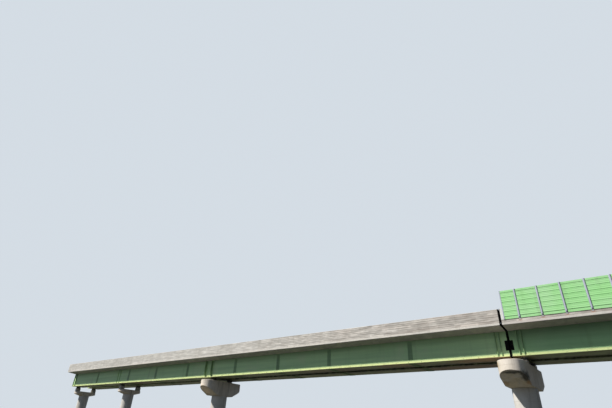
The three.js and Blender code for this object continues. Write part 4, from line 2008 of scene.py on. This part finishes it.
@dataclass
class Studio:
    """The pale floor, the soft key light, the even surroundings and the low camera."""

    floor_half: float = 60.0
    key_power: float = 5.8
    key_softness: float = math.radians(2.2)
    key_left: float = math.radians(38)
    key_height: float = math.radians(45.8)
    key_colour: Colour = (1.0, 0.955, 0.875)
    ambient: tuple[tuple[float, Colour], ...] = (
        (-0.1, (0.165, 0.165, 0.14)),
        (0.04, (0.34, 0.41, 0.53)),
        (0.5, (0.22, 0.29, 0.40)),
        (1.0, (0.16, 0.23, 0.34)),
    )
    left_strength: float = 1.1
    right_strength: float = 0.5
    backdrop: Colour = (0.66, 0.72, 0.78)
    lens: float = 24.0
    sensor: float = 36.0
    clip: Pair = (0.05, 500.0)
    camera_station: float = 9.88
    camera_out: float = 48.48
    camera_height: float = 1.6
    camera_turn: float = math.radians(38.95)
    camera_tilt: float = math.radians(30.28)
    camera_roll: float = math.radians(3.02)

    def floor(self) -> None:
        """Lays the floor; the surroundings' lower half stands for the light that it throws back."""
        half = self.floor_half
        mesh = bpy.data.meshes.new("floor")
        corners = [(x, y, 0.0) for x, y in rectangle(-half, half, -half, half)]
        mesh.from_pydata(corners, [], [(0, 1, 2, 3)])
        mesh.materials.append(FloorFinish("studio_floor").material())
        floor = bpy.data.objects.new("floor", mesh)
        bpy.context.scene.collection.objects.link(floor)
        floor.visible_diffuse = floor.visible_glossy = False

    def key(self) -> None:
        """Hangs the key light, high on the left in front of the viaduct."""
        data = bpy.data.lights.new("key", "SUN")
        data.energy, data.angle, data.color = self.key_power, self.key_softness, self.key_colour
        key = bpy.data.objects.new("key", data)
        bpy.context.scene.collection.objects.link(key)
        level = math.cos(self.key_height)
        towards = Vector((
            -math.sin(self.key_left) * level,
            -math.cos(self.key_left) * level,
            math.sin(self.key_height),
        ))
        key.rotation_mode = "QUATERNION"
        key.rotation_quaternion = towards.to_track_quat("Z", "Y")

    def surroundings(self) -> None:
        """Lights the viaduct evenly from above and below, in front of a plain pale backdrop."""
        world = bpy.data.worlds.new("surroundings")
        bpy.context.scene.world = world
        world.use_nodes = True
        tree = world.node_tree
        light = tree.nodes["Background"]
        pale = tree.nodes.new("ShaderNodeBackground")
        pale.inputs["Color"].default_value = (*self.backdrop, 1)
        source = tree.nodes.new("ShaderNodeTexCoord")
        parts = tree.nodes.new("ShaderNodeSeparateXYZ")
        height = tree.nodes.new("ShaderNodeMapRange")
        height.inputs["From Min"].default_value = -1.0
        ramp = tree.nodes.new("ShaderNodeValToRGB")
        stops = ramp.color_ramp.elements
        while len(stops) < len(self.ambient):
            stops.new(1.0)
        for stop, (place, colour) in zip(stops, self.ambient):
            stop.position, stop.color = (place + 1) / 2, (*colour, 1)
        side = tree.nodes.new("ShaderNodeMapRange")
        side.inputs["From Min"].default_value = -1.0
        side.inputs["To Min"].default_value = self.left_strength
        side.inputs["To Max"].default_value = self.right_strength
        rays = tree.nodes.new("ShaderNodeLightPath")
        choose = tree.nodes.new("ShaderNodeMixShader")
        links = tree.links
        links.new(source.outputs["Generated"], parts.inputs[0])
        links.new(parts.outputs["Z"], height.inputs["Value"])
        links.new(height.outputs[0], ramp.inputs[0])
        links.new(ramp.outputs[0], light.inputs["Color"])
        links.new(parts.outputs["X"], side.inputs["Value"])
        links.new(side.outputs[0], light.inputs["Strength"])
        links.new(rays.outputs["Is Camera Ray"], choose.inputs[0])
        links.new(light.outputs[0], choose.inputs[1])
        links.new(pale.outputs[0], choose.inputs[2])
        links.new(choose.outputs[0], tree.nodes["World Output"].inputs["Surface"])

    def camera(self) -> None:
        """Stands the camera low in front of the viaduct, looking up and to the left."""
        turn, tilt, roll = self.camera_turn, self.camera_tilt, self.camera_roll
        right = Vector((math.cos(turn), math.sin(turn), 0))
        ahead = Vector((-math.sin(turn), math.cos(turn), 0))
        forward = ahead * math.cos(tilt) + Vector((0, 0, math.sin(tilt)))
        up = Vector((0, 0, math.cos(tilt))) - ahead * math.sin(tilt)
        across = right * math.cos(roll) + up * math.sin(roll)
        over = up * math.cos(roll) - right * math.sin(roll)
        data = bpy.data.cameras.new("camera")
        data.lens, data.sensor_width = self.lens, self.sensor
        data.clip_start, data.clip_end = self.clip
        camera = bpy.data.objects.new("camera", data)
        bpy.context.scene.collection.objects.link(camera)
        matrix = Matrix((across, over, -forward)).transposed().to_4x4()
        station = JOINT_X + self.camera_station * SCALE
        matrix.translation = Vector((station, -self.camera_out * SCALE, self.camera_height * SCALE))
        camera.matrix_world = matrix
        bpy.context.scene.camera = camera

    def build(self) -> None:
        """Sets up the studio with plain colours, as a photograph has them."""
        bpy.context.scene.view_settings.view_transform = "Standard"
        self.camera()
        self.floor()
        self.key()
        self.surroundings()


CROSSHEADS: tuple[Crosshead, ...] = (
    DishCrosshead(number=1, top=8.95, tip_bottom=8.5, flat=0.0),
    DishCrosshead(number=2, top=8.95, tip_bottom=8.5, flat=0.0),
    Crosshead(number=3, top=9.4, tip_bottom=8.5, flat=3.2),
    Crosshead(number=4, top=9.3, tip_bottom=8.3, flat=5.0),
    Crosshead(number=5, top=9.3, tip_bottom=8.3, flat=5.0),
)
BEARING_STIFFENERS: dict[Unit, tuple[Pair, ...]] = {
    Unit.LEFT: (
        (-89.4, 0.14), (-88.6, 0.14), (-45.7, 0.36), (-44.3, 0.36), (-1.2, 0.18), (-0.8, 0.14),
    ),
    Unit.RIGHT: ((0.85, 0.18), (1.25, 0.18), (44.6, 0.2), (45.4, 0.2)),
}
SPLICES: dict[Unit, tuple[float, ...]] = {
    Unit.LEFT: (-79.6, -68.1, -59.4, -50.5, -39.1, -30.5, -21.8, -10.6),
    Unit.RIGHT: (10.6, 21.8, 30.5, 39.1),
}


def main() -> None:
    """Builds the studio, the piers and then both units from the deck outwards."""
    Studio().build()
    for crosshead in CROSSHEADS:
        Column(crosshead.number).build()
        crosshead.build()
    for node in sorted(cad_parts):
        if node.startswith("bearing_"):
            Bearing(node).build()
    for unit in Unit:
        DeckSlab(unit).build()
        JointSealAndShade(unit).build()
        CableTrough(unit).build()
        for node in sorted(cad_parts):
            if node.startswith("crossbeam_") and node.endswith(unit.value):
                Crossbeam(node, unit).build()
        for side in Side:
            dress(f"girder_{unit.value}_{side.value}", GIRDER_FINISHES[unit])
            GirderSplices(unit, side, SPLICES[unit]).build()
            WebPlates(unit, side, BEARING_STIFFENERS[unit]).build()
            Parapet(unit, side).build()
            TrackBed(unit, side).build()
    for side in Side:
        NoiseBarrier(side).build()


if __name__ == "__main__":
    logging.basicConfig(level=logging.INFO, format="%(name)s: %(message)s")
    main()
